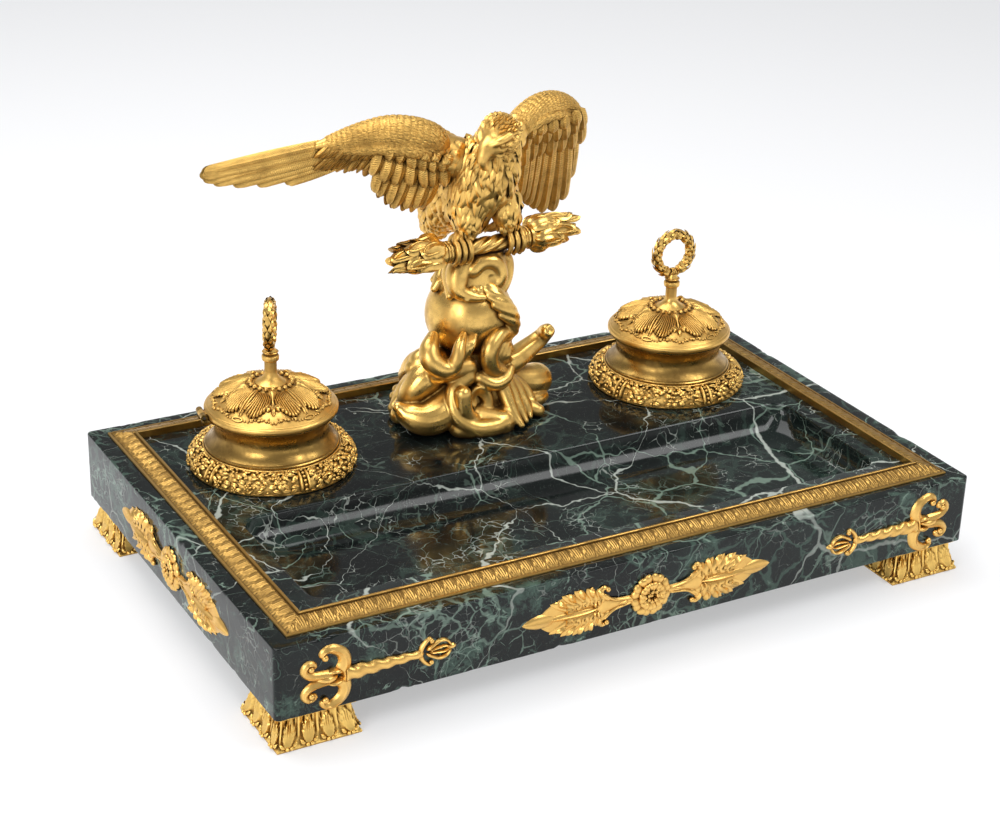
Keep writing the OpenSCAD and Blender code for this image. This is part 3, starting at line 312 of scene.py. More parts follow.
def walls_up(bm, edges, high):
    """Draws walls up from a loop of edges and returns the loop at their top."""
    drawn = bmesh.ops.extrude_edge_only(bm, edges=edges)["geom"]
    bmesh.ops.translate(bm, vec=(0, 0, high), verts=[g for g in drawn if isinstance(g, bmesh.types.BMVert)])
    return [g for g in drawn if isinstance(g, bmesh.types.BMEdge)]


def open_edges(bm):
    """The edges of the holes in a piece's skin."""
    return [e for e in bm.edges if e.is_boundary]


bm = new_mesh()
rows = slab_rows()
surface(bm, slab_columns, len(rows) - 1, slab_place(rows))
rim = [e for e in open_edges(bm) if e.verts[0].co.z < foot_h + 1]
pocket_r, pocket_deep, bore_deep, screw_hole_r, screw_hole_deep = 9, 10, 28, 2.52, 14
holes = [(x, y, pocket_r, pocket_deep, bore_r) for x, y, bore_r in
         [(-well_x, well_y, 3.4), (well_x, well_y, 3.4), (0, eagle_y, 3.9)]]
holes += [(sx * foot_x, mid_y + sy * foot_y, screw_hole_r, screw_hole_deep, 0) for sx in (-1, 1) for sy in (-1, 1)]
mouths = []
for x, y, r, deep, bore_r in holes:
    mouth = circle(bm, x, y, foot_h, r)
    mouths += mouth
    roof = walls_up(bm, mouth, deep)
    if bore_r:
        bore = circle(bm, x, y, foot_h + deep, bore_r)
        bmesh.ops.bridge_loops(bm, edges=roof + bore)
        roof = walls_up(bm, bore, bore_deep)
    bmesh.ops.contextual_create(bm, geom=roof)
bmesh.ops.triangle_fill(bm, edges=rim + mouths, use_beauty=True, use_dissolve=False)
bmesh.ops.contextual_create(bm, geom=open_edges(bm))


def colour_ramp(tree, stops):
    """A colour ramp with the given stops: (place, colour), where a plain number is a grey."""
    ramp = tree.nodes.new("ShaderNodeValToRGB")
    points = ramp.color_ramp.elements
    while len(points) < len(stops):
        points.new(0.5)
    for point, (at, colour) in zip(points, stops):
        point.position = at
        point.color = (colour, colour, colour, 1) if isinstance(colour, (int, float)) else (*colour, 1)
    return ramp


def math_node(tree, operation, a, b=None):
    """A Math node on sockets or plain numbers; returns its output."""
    made = node(tree, "ShaderNodeMath", operation=operation)
    for slot, value in zip(made.inputs, (a, b)):
        if isinstance(value, (int, float)):
            slot.default_value = value
        elif value is not None:
            tree.links.new(value, slot)
    return made.outputs[0]


def mix_colour(tree, share, a, b):
    """Mixes two colours, given as sockets or tuples, by a socket or number; returns the colour."""
    made = node(tree, "ShaderNodeMix", data_type="RGBA")
    for slot, value in ((made.inputs[0], share), (made.inputs[6], a), (made.inputs[7], b)):
        if isinstance(value, tuple):
            slot.default_value = (*value, 1)
        elif isinstance(value, (int, float)):
            slot.default_value = value
        else:
            tree.links.new(value, slot)
    return made.outputs[2]


def texture(tree, kind, where, **values):
    """A texture node that reads the place given."""
    made = node(tree, kind, **values)
    tree.links.new(where, made.inputs["Vector"])
    return made


def shifted(tree, where, scale, amount):
    """The place given, pushed about by a cloudy noise, so that what is drawn there runs crooked."""
    cloud = texture(tree, "ShaderNodeTexNoise", where, scale=scale, detail=4, roughness=0.6)
    centred = node(tree, "ShaderNodeVectorMath", operation="SUBTRACT")
    centred.inputs[1].default_value = (0.5, 0.5, 0.5)
    pushed = node(tree, "ShaderNodeVectorMath", operation="MULTIPLY_ADD")
    pushed.inputs[1].default_value = (amount, amount, amount)
    link(tree, (cloud.outputs["Color"], centred.inputs[0]), (centred.outputs[0], pushed.inputs[0]),
         (where, pushed.inputs[2]))
    return pushed.outputs[0]


def clamped(tree, value):
    """The value, held between 0 and 1."""
    made = node(tree, "ShaderNodeClamp")
    tree.links.new(value, made.inputs[0])
    return made.outputs[0]


def veins(tree, where, scale, width, low, high, patch_scale):
    """A mask of veins along the edges of cells. They swell and fade with a slower noise, from low to high."""
    cells = texture(tree, "ShaderNodeTexVoronoi", where, feature="DISTANCE_TO_EDGE", scale=scale)
    patch = texture(tree, "ShaderNodeTexNoise", where, scale=patch_scale, detail=4, roughness=0.6)
    swell = colour_ramp(tree, [(low, 0.001), (high, width)])
    tree.links.new(patch.outputs["Fac"], swell.inputs[0])
    share = math_node(tree, "DIVIDE", cells.outputs["Distance"], swell.outputs[0])
    return clamped(tree, math_node(tree, "MULTIPLY", math_node(tree, "SUBTRACT", 1.0, share), 1.9))


def new_material(name):
    """A material with one Principled shader; returns it, its tree, its shader and the place on the object."""
    made = bpy.data.materials.new(name)
    made.use_nodes = True
    tree = made.node_tree
    return made, tree, tree.nodes["Principled BSDF"], node(tree, "ShaderNodeTexCoord").outputs["Object"]


black_green, bottle_green = (0.0035, 0.0045, 0.0045), (0.009, 0.015, 0.013)
sea_green, pale_green, vein_white = (0.06, 0.105, 0.08), (0.22, 0.31, 0.245), (0.50, 0.54, 0.48)
marble, tree, shader, place = new_material("green_marble")
crooked = shifted(tree, place, 18, 0.034)
ragged = shifted(tree, crooked, 90, 0.0055)
ground = texture(tree, "ShaderNodeTexNoise", crooked, scale=10, detail=7, roughness=0.62)
ground_tone = colour_ramp(tree, [(0.40, black_green), (0.66, bottle_green), (0.8, (0.016, 0.013, 0.009))])
clouds = texture(tree, "ShaderNodeTexNoise", ragged, scale=42, detail=9, roughness=0.74)
cloud_mask = colour_ramp(tree, [(0.55, 0), (0.59, 0.5), (0.66, 1)])
flecks = texture(tree, "ShaderNodeTexNoise", ragged, scale=85, detail=8, roughness=0.75, distortion=0.8)
fleck_mask = colour_ramp(tree, [(0.60, 0), (0.63, 0.7), (0.70, 1)])
tree.links.new(flecks.outputs["Fac"], fleck_mask.inputs[0])
link(tree, (ground.outputs["Fac"], ground_tone.inputs[0]), (clouds.outputs["Fac"], cloud_mask.inputs[0]))
spot = node(tree, "ShaderNodeSeparateXYZ")
tree.links.new(place, spot.inputs[0])
edge_x, edge_y, edge_fade = 0.208, 0.130, 250
calc = partial(math_node, tree)
beyond_x = calc("SUBTRACT", calc("ABSOLUTE", spot.outputs[0]), edge_x)
beyond_y = calc("SUBTRACT", calc("ABSOLUTE", calc("SUBTRACT", spot.outputs[1], mid_y * MM)), edge_y)
sides = clamped(tree, calc("MULTIPLY", calc("MAXIMUM", beyond_x, beyond_y), edge_fade))


def calmer(mask, on_top, on_sides):
    """A mask at one strength on the top of the slab and another on its faces."""
    return calc("MULTIPLY", mask, calc("ADD", calc("MULTIPLY", sides, on_sides - on_top), on_top))


colour = mix_colour(tree, calmer(cloud_mask.outputs[0], 0.12, 0.9), ground_tone.outputs[0], sea_green)
colour = mix_colour(tree, calmer(fleck_mask.outputs[0], 0.10, 0.85), colour, pale_green)
for where, scale, width, low, high, patch_scale, tone, on_top, on_sides in [
    (ragged, 70, 0.26, 0.47, 0.74, 16, sea_green, 0.22, 0.6),
    (ragged, 95, 0.20, 0.53, 0.76, 26, pale_green, 0.2, 0.5),
    (crooked, 24, 0.050, 0.46, 0.74, 12, pale_green, 0.6, 0.4),
    (ragged, 150, 0.10, 0.54, 0.74, 34, vein_white, 0.45, 0.25),
    (crooked, 11, 0.026, 0.44, 0.76, 10, vein_white, 0.7, 0.4),
]:
    mask = veins(tree, where, scale, width, low, high, patch_scale)
    colour = mix_colour(tree, calmer(mask, on_top, on_sides), colour, tone)
polish = texture(tree, "ShaderNodeTexNoise", crooked, scale=45, detail=5, roughness=0.6)
polish_range = colour_ramp(tree, [(0.35, 0.07), (0.7, 0.16)])
waves = texture(tree, "ShaderNodeTexNoise", place, scale=60, detail=3, roughness=0.5)
bump = node(tree, "ShaderNodeBump", strength=0.12, distance=0.0004)
link(tree, (colour, shader.inputs["Base Color"]), (polish.outputs["Fac"], polish_range.inputs[0]),
     (polish_range.outputs[0], shader.inputs["Roughness"]), (waves.outputs["Fac"], bump.inputs["Height"]),
     (bump.outputs[0], shader.inputs["Normal"]))
shader.inputs["Specular IOR Level"].default_value = 0.3
piece(bm, "slab", marble, "stand", ["marble_slab"])


# The frame
# Four lengths of gilt bronze moulding, mitred at the corners and laid on the marble round its top. Lamb's tongue
# leaves are chased down the outer slope, inside them run a groove and a plain fillet, and the gilding has darkened.
def gilding_group():
    """Old fire gilding: bright where rubbed, faint grain and scratches, painted shade over brown patina in hollows."""
    tree = bpy.data.node_groups.new("old_gilding_painted_shade", "ShaderNodeTree")
    for name, kind, value in [("Bright", "Color", (0.9, 0.55, 0.16, 1)), ("Deep", "Color", (0.12, 0.05, 0.01, 1)),
                              ("Reach", "Float", 0.003), ("Stain", "Float", 0.3), ("Sheen", "Float", 0.3),
                              ("Grain", "Float", 0.3), ("Chase", "Float", 0.0), ("Relief", "Float", 0.0)]:
        socket = tree.interface.new_socket(name, in_out="INPUT", socket_type="NodeSocket" + kind)
        socket.default_value = value
    for name, kind in [("Color", "Color"), ("Roughness", "Float"), ("Normal", "Vector")]:
        tree.interface.new_socket(name, in_out="OUTPUT", socket_type="NodeSocket" + kind)
    calc = partial(math_node, tree)
    given = node(tree, "NodeGroupInput").outputs
    result = node(tree, "NodeGroupOutput").inputs
    place = node(tree, "ShaderNodeTexCoord").outputs["Object"]
    # Painted shade: the AO node darkens hollows and places near other parts, over the brown patina of the hollows.
    hollow = node(tree, "ShaderNodeAmbientOcclusion", samples=5)
    unshaded_share = colour_ramp(tree, [(0.30, 0), (0.62, 0.55), (0.92, 1)])
    link(tree, (given["Reach"], hollow.inputs["Distance"]), (hollow.outputs["AO"], unshaded_share.inputs[0]))
    edges = colour_ramp(tree, [(0.46, 0), (0.5, 0.5), (0.56, 1)])
    link(tree, (node(tree, "ShaderNodeNewGeometry").outputs["Pointiness"], edges.inputs[0]))
    rubbed = calc("ADD", 0.62, calc("MULTIPLY", edges.outputs[0], 0.55))
    stains = texture(tree, "ShaderNodeTexNoise", place, scale=85, detail=6, roughness=0.65)
    stain_mask = colour_ramp(tree, [(0.42, 0), (0.68, 1)])
    link(tree, (stains.outputs["Fac"], stain_mask.inputs[0]))
    clean = calc("SUBTRACT", 1.0, calc("MULTIPLY", stain_mask.outputs[0], given["Stain"]))
    uncut = calc("ADD", 1.0, calc("MULTIPLY", calc("MINIMUM", given["Relief"], 0.0), 0.5))
    unshaded_and_rubbed = calc("MULTIPLY", unshaded_share.outputs[0], rubbed)
    shown = clamped(tree, calc("MULTIPLY", calc("MULTIPLY", unshaded_and_rubbed, clean), uncut))
    link(tree, (mix_colour(tree, shown, given["Deep"], given["Bright"]), result["Color"]))
    grain = texture(tree, "ShaderNodeTexNoise", place, scale=900, detail=3, roughness=0.6)
    dull = calc("MULTIPLY", calc("SUBTRACT", 1.0, shown), 0.35)
    mottled = calc("MULTIPLY", calc("SUBTRACT", stains.outputs["Fac"], 0.5), 0.3)
    link(tree, (calc("ADD", calc("ADD", given["Sheen"], dull), mottled), result["Roughness"]))
    strokes = texture(tree, "ShaderNodeTexNoise", place, scale=420, detail=2, roughness=0.5, distortion=1.2)
    height = calc("ADD", calc("MULTIPLY", grain.outputs["Fac"], given["Grain"]),
                  calc("MULTIPLY", strokes.outputs["Fac"], given["Chase"]))
    height = calc("ADD", height, given["Relief"])
    bump = node(tree, "ShaderNodeBump", strength=0.5, distance=0.0003)
    link(tree, (height, bump.inputs["Height"]), (bump.outputs[0], result["Normal"]))
    return tree


gilding = gilding_group()


def gilt(name, bright, deep, reach, stain, sheen, grain=0.3, chase=0.0, relief=None):
    """A gilt metal from the old gilding group, with painted shade in its hollows; relief draws a height cut into it.
    """
    made, tree, shader, _ = new_material(name)
    tones = node(tree, "ShaderNodeGroup")
    tones.node_tree = gilding
    for socket, value in [("Bright", (*bright, 1)), ("Deep", (*deep, 1)), ("Reach", reach), ("Stain", stain),
                          ("Sheen", sheen), ("Grain", grain), ("Chase", chase)]:
        tones.inputs[socket].default_value = value
    if relief:
        tree.links.new(relief(tree), tones.inputs["Relief"])
    shader.inputs["Metallic"].default_value = 1
    link(tree, (tones.outputs["Color"], shader.inputs["Base Color"]),
         (tones.outputs["Roughness"], shader.inputs["Roughness"]), (tones.outputs["Normal"], shader.inputs["Normal"]))
    return made


old_gilt = gilt("old_gilding_painted_shade", (0.50, 0.30, 0.082), (0.05, 0.024, 0.008), reach=0.0016, stain=0.4, sheen=0.34)
frame_l, frame_d = slab_w - 20, slab_d - 18
frame_face, frame_h, fillet, lip = 13.6, 4.6, 1.5, 1.3
slope_in = frame_face - fillet - 1
leaf_pitch = 7.5


def smooth_step(a, b, x):
    """0 up to a, 1 from b on, and an S between them."""
    t = max(0.0, min(1.0, (x - a) / (b - a)))
    return t * t * (3 - 2 * t)


def tongue_leaf(s, t):
    """Height of a lamb's tongue leaf: s from -1 to 1 across it, t from its round tip, at 0, to its root."""
    half = 0.82 * sqrt(max(0.0, 1 - (1 - min(1, t * 1.5)) ** 2)) + 0.001
    q = abs(s) / half
    border = exp(-((q - 0.88) / 0.13) ** 2) * 0.7
    border = max(border, exp(-((q - 0.48) / 0.14) ** 2) * 0.5 * smooth_step(0.08, 0.2, t))
    rib = exp(-(s / 0.09) ** 2) * 0.55 * smooth_step(0.1, 0.3, t)
    body = 0.26 * (1 - smooth_step(0.92, 1.06, q))
    dart = exp(-((abs(s) - 1) / 0.12) ** 2) * 0.38 * (1 - smooth_step(0.25, 0.6, t))
    return max(body + border * (q < 1.15) + rib * (q < 1), dart)


slope_rows = 15
section = [(0.0, 0.0, 0), (0.0, 0.9, 0), (0.25, lip, 0), (1.3, lip, 0)]
section += [(1.6 + (slope_in - 1.8) * k / slope_rows,
             lip + (frame_h - lip - 0.75) * sin(radians(90 * k / slope_rows)), 0.04 + 0.94 * k / slope_rows)
            for k in range(slope_rows + 1)]
section += [(slope_in + 0.15, frame_h - 1.3, 0), (slope_in + 0.8, frame_h - 1.3, 0),
            (slope_in + 1, frame_h - 0.25, 0), (slope_in + 1.3, frame_h, 0), (frame_face - 0.3, frame_h, 0),
            (frame_face, frame_h - 0.3, 0), (frame_face, 0.0, 0)]


def rail(length, turn, at):
    """One rail: its outer edge lies on y = 0 before it is turned about the upright axis and put in its place."""
    leaves = round(length / leaf_pitch)

    def place(u, v):
        inwards, up, t = section[min(round(v * len(section)), len(section)) % len(section)]
        x = max(-length / 2 + inwards, min(length / 2 - inwards, (u - 0.5) * length))
        if t:
            s = 2 * ((x / length * leaves + 0.5 * (leaves % 2)) % 1) - 1
            relief = 0.75 * tongue_leaf(s, t)
            a = radians(80 - 75 * t)
            inwards, up = inwards - relief * 0.45 * sin(a), up - 0.55 + relief * (0.4 + 0.6 * cos(a))
        return Vector((x, inwards, up))
    bm = new_mesh()
    surface(bm, leaves * 18, len(section), place)
    for end in (-1, 1):
        bmesh.ops.contextual_create(bm, geom=[e for e in open_edges(bm) if e.verts[0].co.x * end > 0])
    bmesh.ops.rotate(bm, verts=bm.verts, cent=(0, 0, 0), matrix=Matrix.Rotation(radians(turn), 3, "Z"))
    shift(bm, at)
    return bm


for name, length, turn, at in [("front", frame_l, 0, (0, mid_y - frame_d / 2, top_z)),
                               ("back", frame_l, 180, (0, mid_y + frame_d / 2, top_z)),
                               ("left", frame_d, -90, (-frame_l / 2, mid_y, top_z)),
                               ("right", frame_d, 90, (frame_l / 2, mid_y, top_z))]:
    piece(rail(length, turn, at), "rail_" + name, old_gilt, "stand", ["frame_" + name])


# The feet
# Four square feet of cast and gilt bronze that splay towards the desk. Each face carries a row of leaves with
# pairs of beads under them. A plain ledge takes the slab, and a screw comes up through each into the marble.
foot_base, foot_neck, ledge_half, ledge_h, plinth_h = 25, 19, 21, 2.4, 1.8
foot_units, face_steps, bead_row_half, bead_r, edge_leaf = 4, 72, 22.4, 1.1, 4.2
neck_z = foot_h - ledge_h
splay = [(foot_base - 2.1 - (foot_base - 2.1 - foot_neck) * sin(radians(90 * k / 30)),
          plinth_h + (neck_z - plinth_h) * (1 - 0.55 * cos(radians(90 * k / 30)) - 0.45 * (1 - k / 30)),
          k / 30) for k in range(31)]
foot_section = [(foot_base - 1.9, 0.0, -1), (foot_base - 1.7, 0.9, -1)] + splay + \
    [(foot_neck + 0.2, neck_z + 0.1, -1), (ledge_half - 0.4, neck_z + 0.3, -1), (ledge_half, neck_z + 0.7, -1),
     (ledge_half, foot_h - 0.5, -1), (ledge_half - 0.5, foot_h - 0.01, -1)]


def through(*points):
    """A smooth line through the points, as a function of t from 0 to 1."""
    spots = [Vector(p) if len(p) > 2 else Vector((*p, 0)) for p in points]
    spots = [2 * spots[0] - spots[1]] + spots + [2 * spots[-1] - spots[-2]]
    last = len(spots) - 3

    def at(t):
        k = max(0, min(int(t * last), last - 1))
        f = t * last - k
        a, b, c, d = spots[k:k + 4]
        return 0.5 * (2 * b + (c - a) * f + (2 * a - 5 * b + 4 * c - d) * f * f + (3 * b - a - 3 * c + d) * f ** 3)
    return at


def swell(width, peak=1.0, blunt=0.75):
    """A width that grows from nothing and falls to nothing again; above 1, the peak is nearer to the end."""
    return lambda t: width * max(0.0, sin(pi * min(1, max(0, t)) ** peak)) ** blunt


def taper(start, end, close=0.08):
    """A width that runs from start to end and closes at both tips."""
    return lambda t: (start + (end - start) * t) * sqrt(max(0, min(1, t / close, (1 - t) / close)))


def blade(bm, line, up, half, crown, across, along, rib=0.0, sink=0.3, cup=0.0):
    """A closed, domed leaf over line(t), half(t) wide to each side and crown(t) high on the side that up points to."""
    spots = [line(k / along) for k in range(along + 1)]
    frames = []
    for k, spot in enumerate(spots):
        lift = up(spot) if callable(up) else up
        ahead = (spots[min(k + 1, along)] - spots[max(k - 1, 0)]).normalized()
        side = ahead.cross(lift).normalized()
        frames.append((spot, side, side.cross(ahead)))

    def place(u, v):
        k = round(v * along)
        spot, side, lift = frames[k]
        w, h = half(k / along), crown(k / along)
        i = round(u * (across + 1)) % (across + 1)
        q = 2 * i / across - 1
        raised = h * ((1 - q * q) ** 0.6 + rib * (1 - min(1, abs(q) * across / 2))) - cup * w * q * q
        return spot + side * (q * w) + lift * (raised - sink)
    surface(bm, across + 1, along, place, length=(spots[-1] - spots[0]).length)


UP = Vector((0, 0, 1))


def palmette_relief(s, t):
    """Height of the row of palmettes on a foot's face: s from -1 to 1 across the face, t from 0 at the bottom."""
    a = ((s * 0.5 + 0.5) * foot_units) % 1 * 2 - 1
    high = 0.0
    for bend, reach in [(0, 0.97), (0.30, 0.93), (-0.30, 0.93), (0.58, 0.82), (-0.58, 0.82), (0.84, 0.64),
                        (-0.84, 0.64)]:
        middle = bend * (t / 0.9) ** 0.7
        wide = 0.075 + 0.07 * sin(pi * min(1, t / reach)) + 0.03 * t
        high = max(high, exp(-((a - middle) / wide) ** 4) * (1 - smooth_step(reach - 0.12, reach, t)))
    eyes = exp(-((abs(a) - 0.42) / 0.10) ** 2 - ((t - 0.86) / 0.07) ** 2)
    stalk = exp(-((abs(a) - 0.95) / 0.10) ** 2) * smooth_step(0.2, 0.5, t) * 0.8
    return max(high * smooth_step(-0.05, 0.12, t), stalk) - 0.9 * eyes


def ball(bm, at, r, steps=10):
    """A berry, bead or ball."""
    part = new_mesh()
    bmesh.ops.create_uvsphere(part, u_segments=steps, v_segments=max(5, steps - 3), radius=r,
                              matrix=Matrix.Translation(at), calc_uvs=True)
    pour(bm, part)


def foot(bm, x, y):
    """A foot round its own upright axis at x and y, open below and on top."""
    def place(u, v):
        half, z, t = foot_section[min(round(v * (len(foot_section) - 1)), len(foot_section) - 1)]
        side = min(int(u * 4), 3)
        s = (u * 4 - side) * 2 - 1
        if t >= 0:
            corner = 1 - smooth_step(0.93, 1.0, abs(s))
            half += 1.9 * palmette_relief(s, t) * corner - 0.35 * corner
        spot = Vector((s * half, -half, z))
        return Matrix.Rotation(radians(90 * side), 3, "Z") @ spot + Vector((x, y, 0))
    surface(bm, 4 * face_steps, len(foot_section) - 1, place)
    for side in range(4):
        turn = Matrix.Rotation(radians(90 * side), 3, "Z")
        for unit in range(foot_units):
            middle = ((unit + 0.5) / foot_units * 2 - 1) * bead_row_half
            for lean in (-bead_r - 0.05, bead_r + 0.05):
                at = turn @ Vector((middle + lean, -foot_base + 1.2, 2.0))
                ball(bm, at + Vector((x, y, 0)), bead_r)
            edge = turn @ Vector((middle, -foot_base + 1.9, 3.0))
            for lean in (-edge_leaf, edge_leaf):
                blade(bm, through(*[edge + turn @ Vector(spot) + Vector((x, y, 0)) for spot in
                                    [(lean * 0.35, 0, -0.8), (lean * 0.8, -0.3, 0.2), (lean * 1.1, 0.5, 2.0)]]),
                      turn @ Vector((0, -1, 0.3)), swell(1.0), swell(0.9), across=4, along=8)


bright_gilt = gilt("bright_gilding", (0.90, 0.56, 0.165), (0.24, 0.115, 0.026), reach=0.0018, stain=0.16, sheen=0.34,
                   grain=0.5)
foot_gilt = gilt("foot_gilding", (1.0, 0.66, 0.185), (0.26, 0.13, 0.03), reach=0.002, stain=0.2, sheen=0.32,
                 grain=0.7, chase=0.3)
screw_head_r, screw_head_deep = 6.4, foot_h - 7
for name, sx, sy in [("front_left", -1, -1), ("front_right", 1, -1), ("back_left", -1, 1), ("back_right", 1, 1)]:
    bm = new_mesh()
    x, y = sx * foot_x, mid_y + sy * foot_y
    foot(bm, x, y)
    base, top = [[e for e in open_edges(bm) if (e.verts[0].co.z > plinth_h) == above] for above in (False, True)]
    hole = circle(bm, x, y, 0, screw_head_r, 32)
    bmesh.ops.contextual_create(bm, geom=walls_up(bm, hole, screw_head_deep))
    bmesh.ops.triangle_fill(bm, edges=base + hole, use_beauty=True, use_dissolve=False)
    bmesh.ops.contextual_create(bm, geom=top)
    piece(bm, "foot_cast_" + name, foot_gilt, "stand", ["foot_" + name])


# The mounts on the slab's faces
# Thin castings, chased, matt gilt and pinned to the marble: a rosette between two palmettes at the front and at
# each end, and a torch near each end of the front. Each leaf is a closed blade laid on the casting's ground.
mount_z, palmette_l, rosette_r, torch_l = foot_h + 18.5, 77.7, 12.4, 85.5


def leaf(bm, places, half, crown, across, along, **more):
    """A blade that stands up from the XY plane, through places of (x, y)."""
    blade(bm, through(*places), UP, half, crown, across, along, **more)


def palmette(bm):
    """A palmette along +X from the rosette's middle, with its back at z = 0."""
    leaf(bm, [(28, 0), (48, 0), (69, 0)], lambda t: 11.4 * sin(pi * min(1, t) ** 0.95) ** 0.62,
         lambda t: 1.3 * sin(pi * t) ** 0.5, across=16, along=24, sink=0)
    for s in (-1, 1):
        for k, (x, y) in enumerate([(33, 11.2), (39.5, 12.9), (47, 13.2), (54.5, 12), (61.5, 8.8)]):
            bend = (31 + 5.5 * k, s * (3.4 - 0.35 * k))
            mid = (29 + 0.62 * (x - 29), s * y * 0.62 * 0.72)
            leaf(bm, [(27, s * 0.8), (bend[0] * 0.5 + mid[0] * 0.5, (bend[1] + mid[1]) * 0.5), mid, (x, s * y)],
                 swell(3.7, 1.5, 0.6), swell(2.3 + 0.12 * k), across=8, along=14, rib=-0.22, sink=-0.2)
            leaf(bm, [(mid[0], mid[1], 0), ((mid[0] + x) / 2 - 1, (mid[1] + s * y) / 2 + s * 0.6, 0),
                      (x - 3.4, s * (y + 0.2), 0)], swell(2.1, 1.3), swell(2.2), across=6, along=8, rib=0.3,
                 sink=-0.3)
        horn = through((24.5, s * 3.0), (29, s * 6.0), (31.5, s * 8.6), (29.5, s * 11.0), (26.6, s * 10.3))
        blade(bm, horn, UP, taper(1.9, 1.1, 0.12), taper(1.9, 1.3, 0.12), across=6, along=16, sink=-0.4)
        ball(bm, (26.9, s * 9.9, 1.0), 1.5, 12)
        leaf(bm, [(31.2, s * 0.4), (32.6, s * 3.4), (31, s * 6.8)], swell(1.3), swell(2.7), across=6, along=10,
             sink=-0.3)
        leaf(bm, [(34.0, s * 0.3), (35, s * 2.8), (33.6, s * 5.6)], swell(1.0), swell(2.9), across=4, along=8,
             sink=-0.2)
    leaf(bm, [(28, 0), (45, 0), (66, 0)], swell(2.7, 1.3), swell(2.3), across=8, along=16, rib=0.3, sink=-0.4)
    leaf(bm, [(55, 0), (66, 0), (palmette_l, 0)], swell(4.2, 1.05), swell(2.0), across=10, along=18, rib=0.22, sink=0)
    leaf(bm, [(9.5, 0), (18, 0), (26, 0), (34, 0)], lambda t: (2.3 + 4.6 * smooth_step(0.3, 1, t)) *
         min(1, 12 * t, 10 * (1 - t)) ** 0.5, lambda t: 2.0 * min(1, 12 * t, 10 * (1 - t)) ** 0.5, across=10,
         along=20, sink=0)
    leaf(bm, [(14, 0), (17, 0), (22.5, 0)], swell(1.25, 0.6), swell(1.3), across=6, along=8, sink=-1.5)
    for s in (-1, 1):
        leaf(bm, [(11, s * 1.2), (18, s * 2.0), (24, s * 3.4), (29.6, s * 7.8)], taper(0.7, 0.8), taper(0.9, 1.2),
             across=4, along=14, sink=-1.3)


def rosette(bm):
    """Two rings of petals round a hollow heart, its back at z = 0."""
    petals = 8
    for ring, (r, w, lift, start) in enumerate([(rosette_r, 4.5, 0.2, 0), (rosette_r * 0.66, 3.2, 2.0, 0.5)]):
        for k in range(petals):
            a = radians(360 / petals * (k + start) + 22.5)
            out, side = Vector((cos(a), sin(a), 0)), Vector((-sin(a), cos(a), 0))
            for lobe in (-1, 1):
                blade(bm, through(*[out * (r * f) + side * (lobe * w * g) + UP * (lift + z) for f, g, z in
                                    [(0.2, 0.03, 0.8), (0.55, 0.2, 0.7), (0.84, 0.33, 1.1), (0.985, 0.3, 0.1)]]), UP,
                      swell(w * 0.62, 1.6, 0.6), swell(1.5 - 0.3 * ring), across=6, along=10, sink=-0.1)
            blade(bm, through(out * r * 0.2 + UP * lift, out * r * 0.6 + UP * (lift + 0.9),
                              out * r * 0.8 + UP * lift), UP, swell(0.8), swell(2.0), across=4, along=8)
    for k in range(7):
        a = radians(360 / 7 * k)
        at = Vector((cos(a), sin(a), 0))
        blade(bm, through(at * 1.6 + UP * 2.2, at * 2.6 + UP * 4.2, at * 4.0 + UP * 4.5), UP, swell(1.3), swell(0.7),
              across=4, along=8)
    surface(bm, 32, 1, lambda u, v: Vector((cos(2 * pi * u), sin(2 * pi * u), 0)) *
            (rosette_r * (0.5 + 0.22 * v)) + UP * (1.6 * (1 - v)))
    ball(bm, (0, 0, 1.3), 1.7, 12)


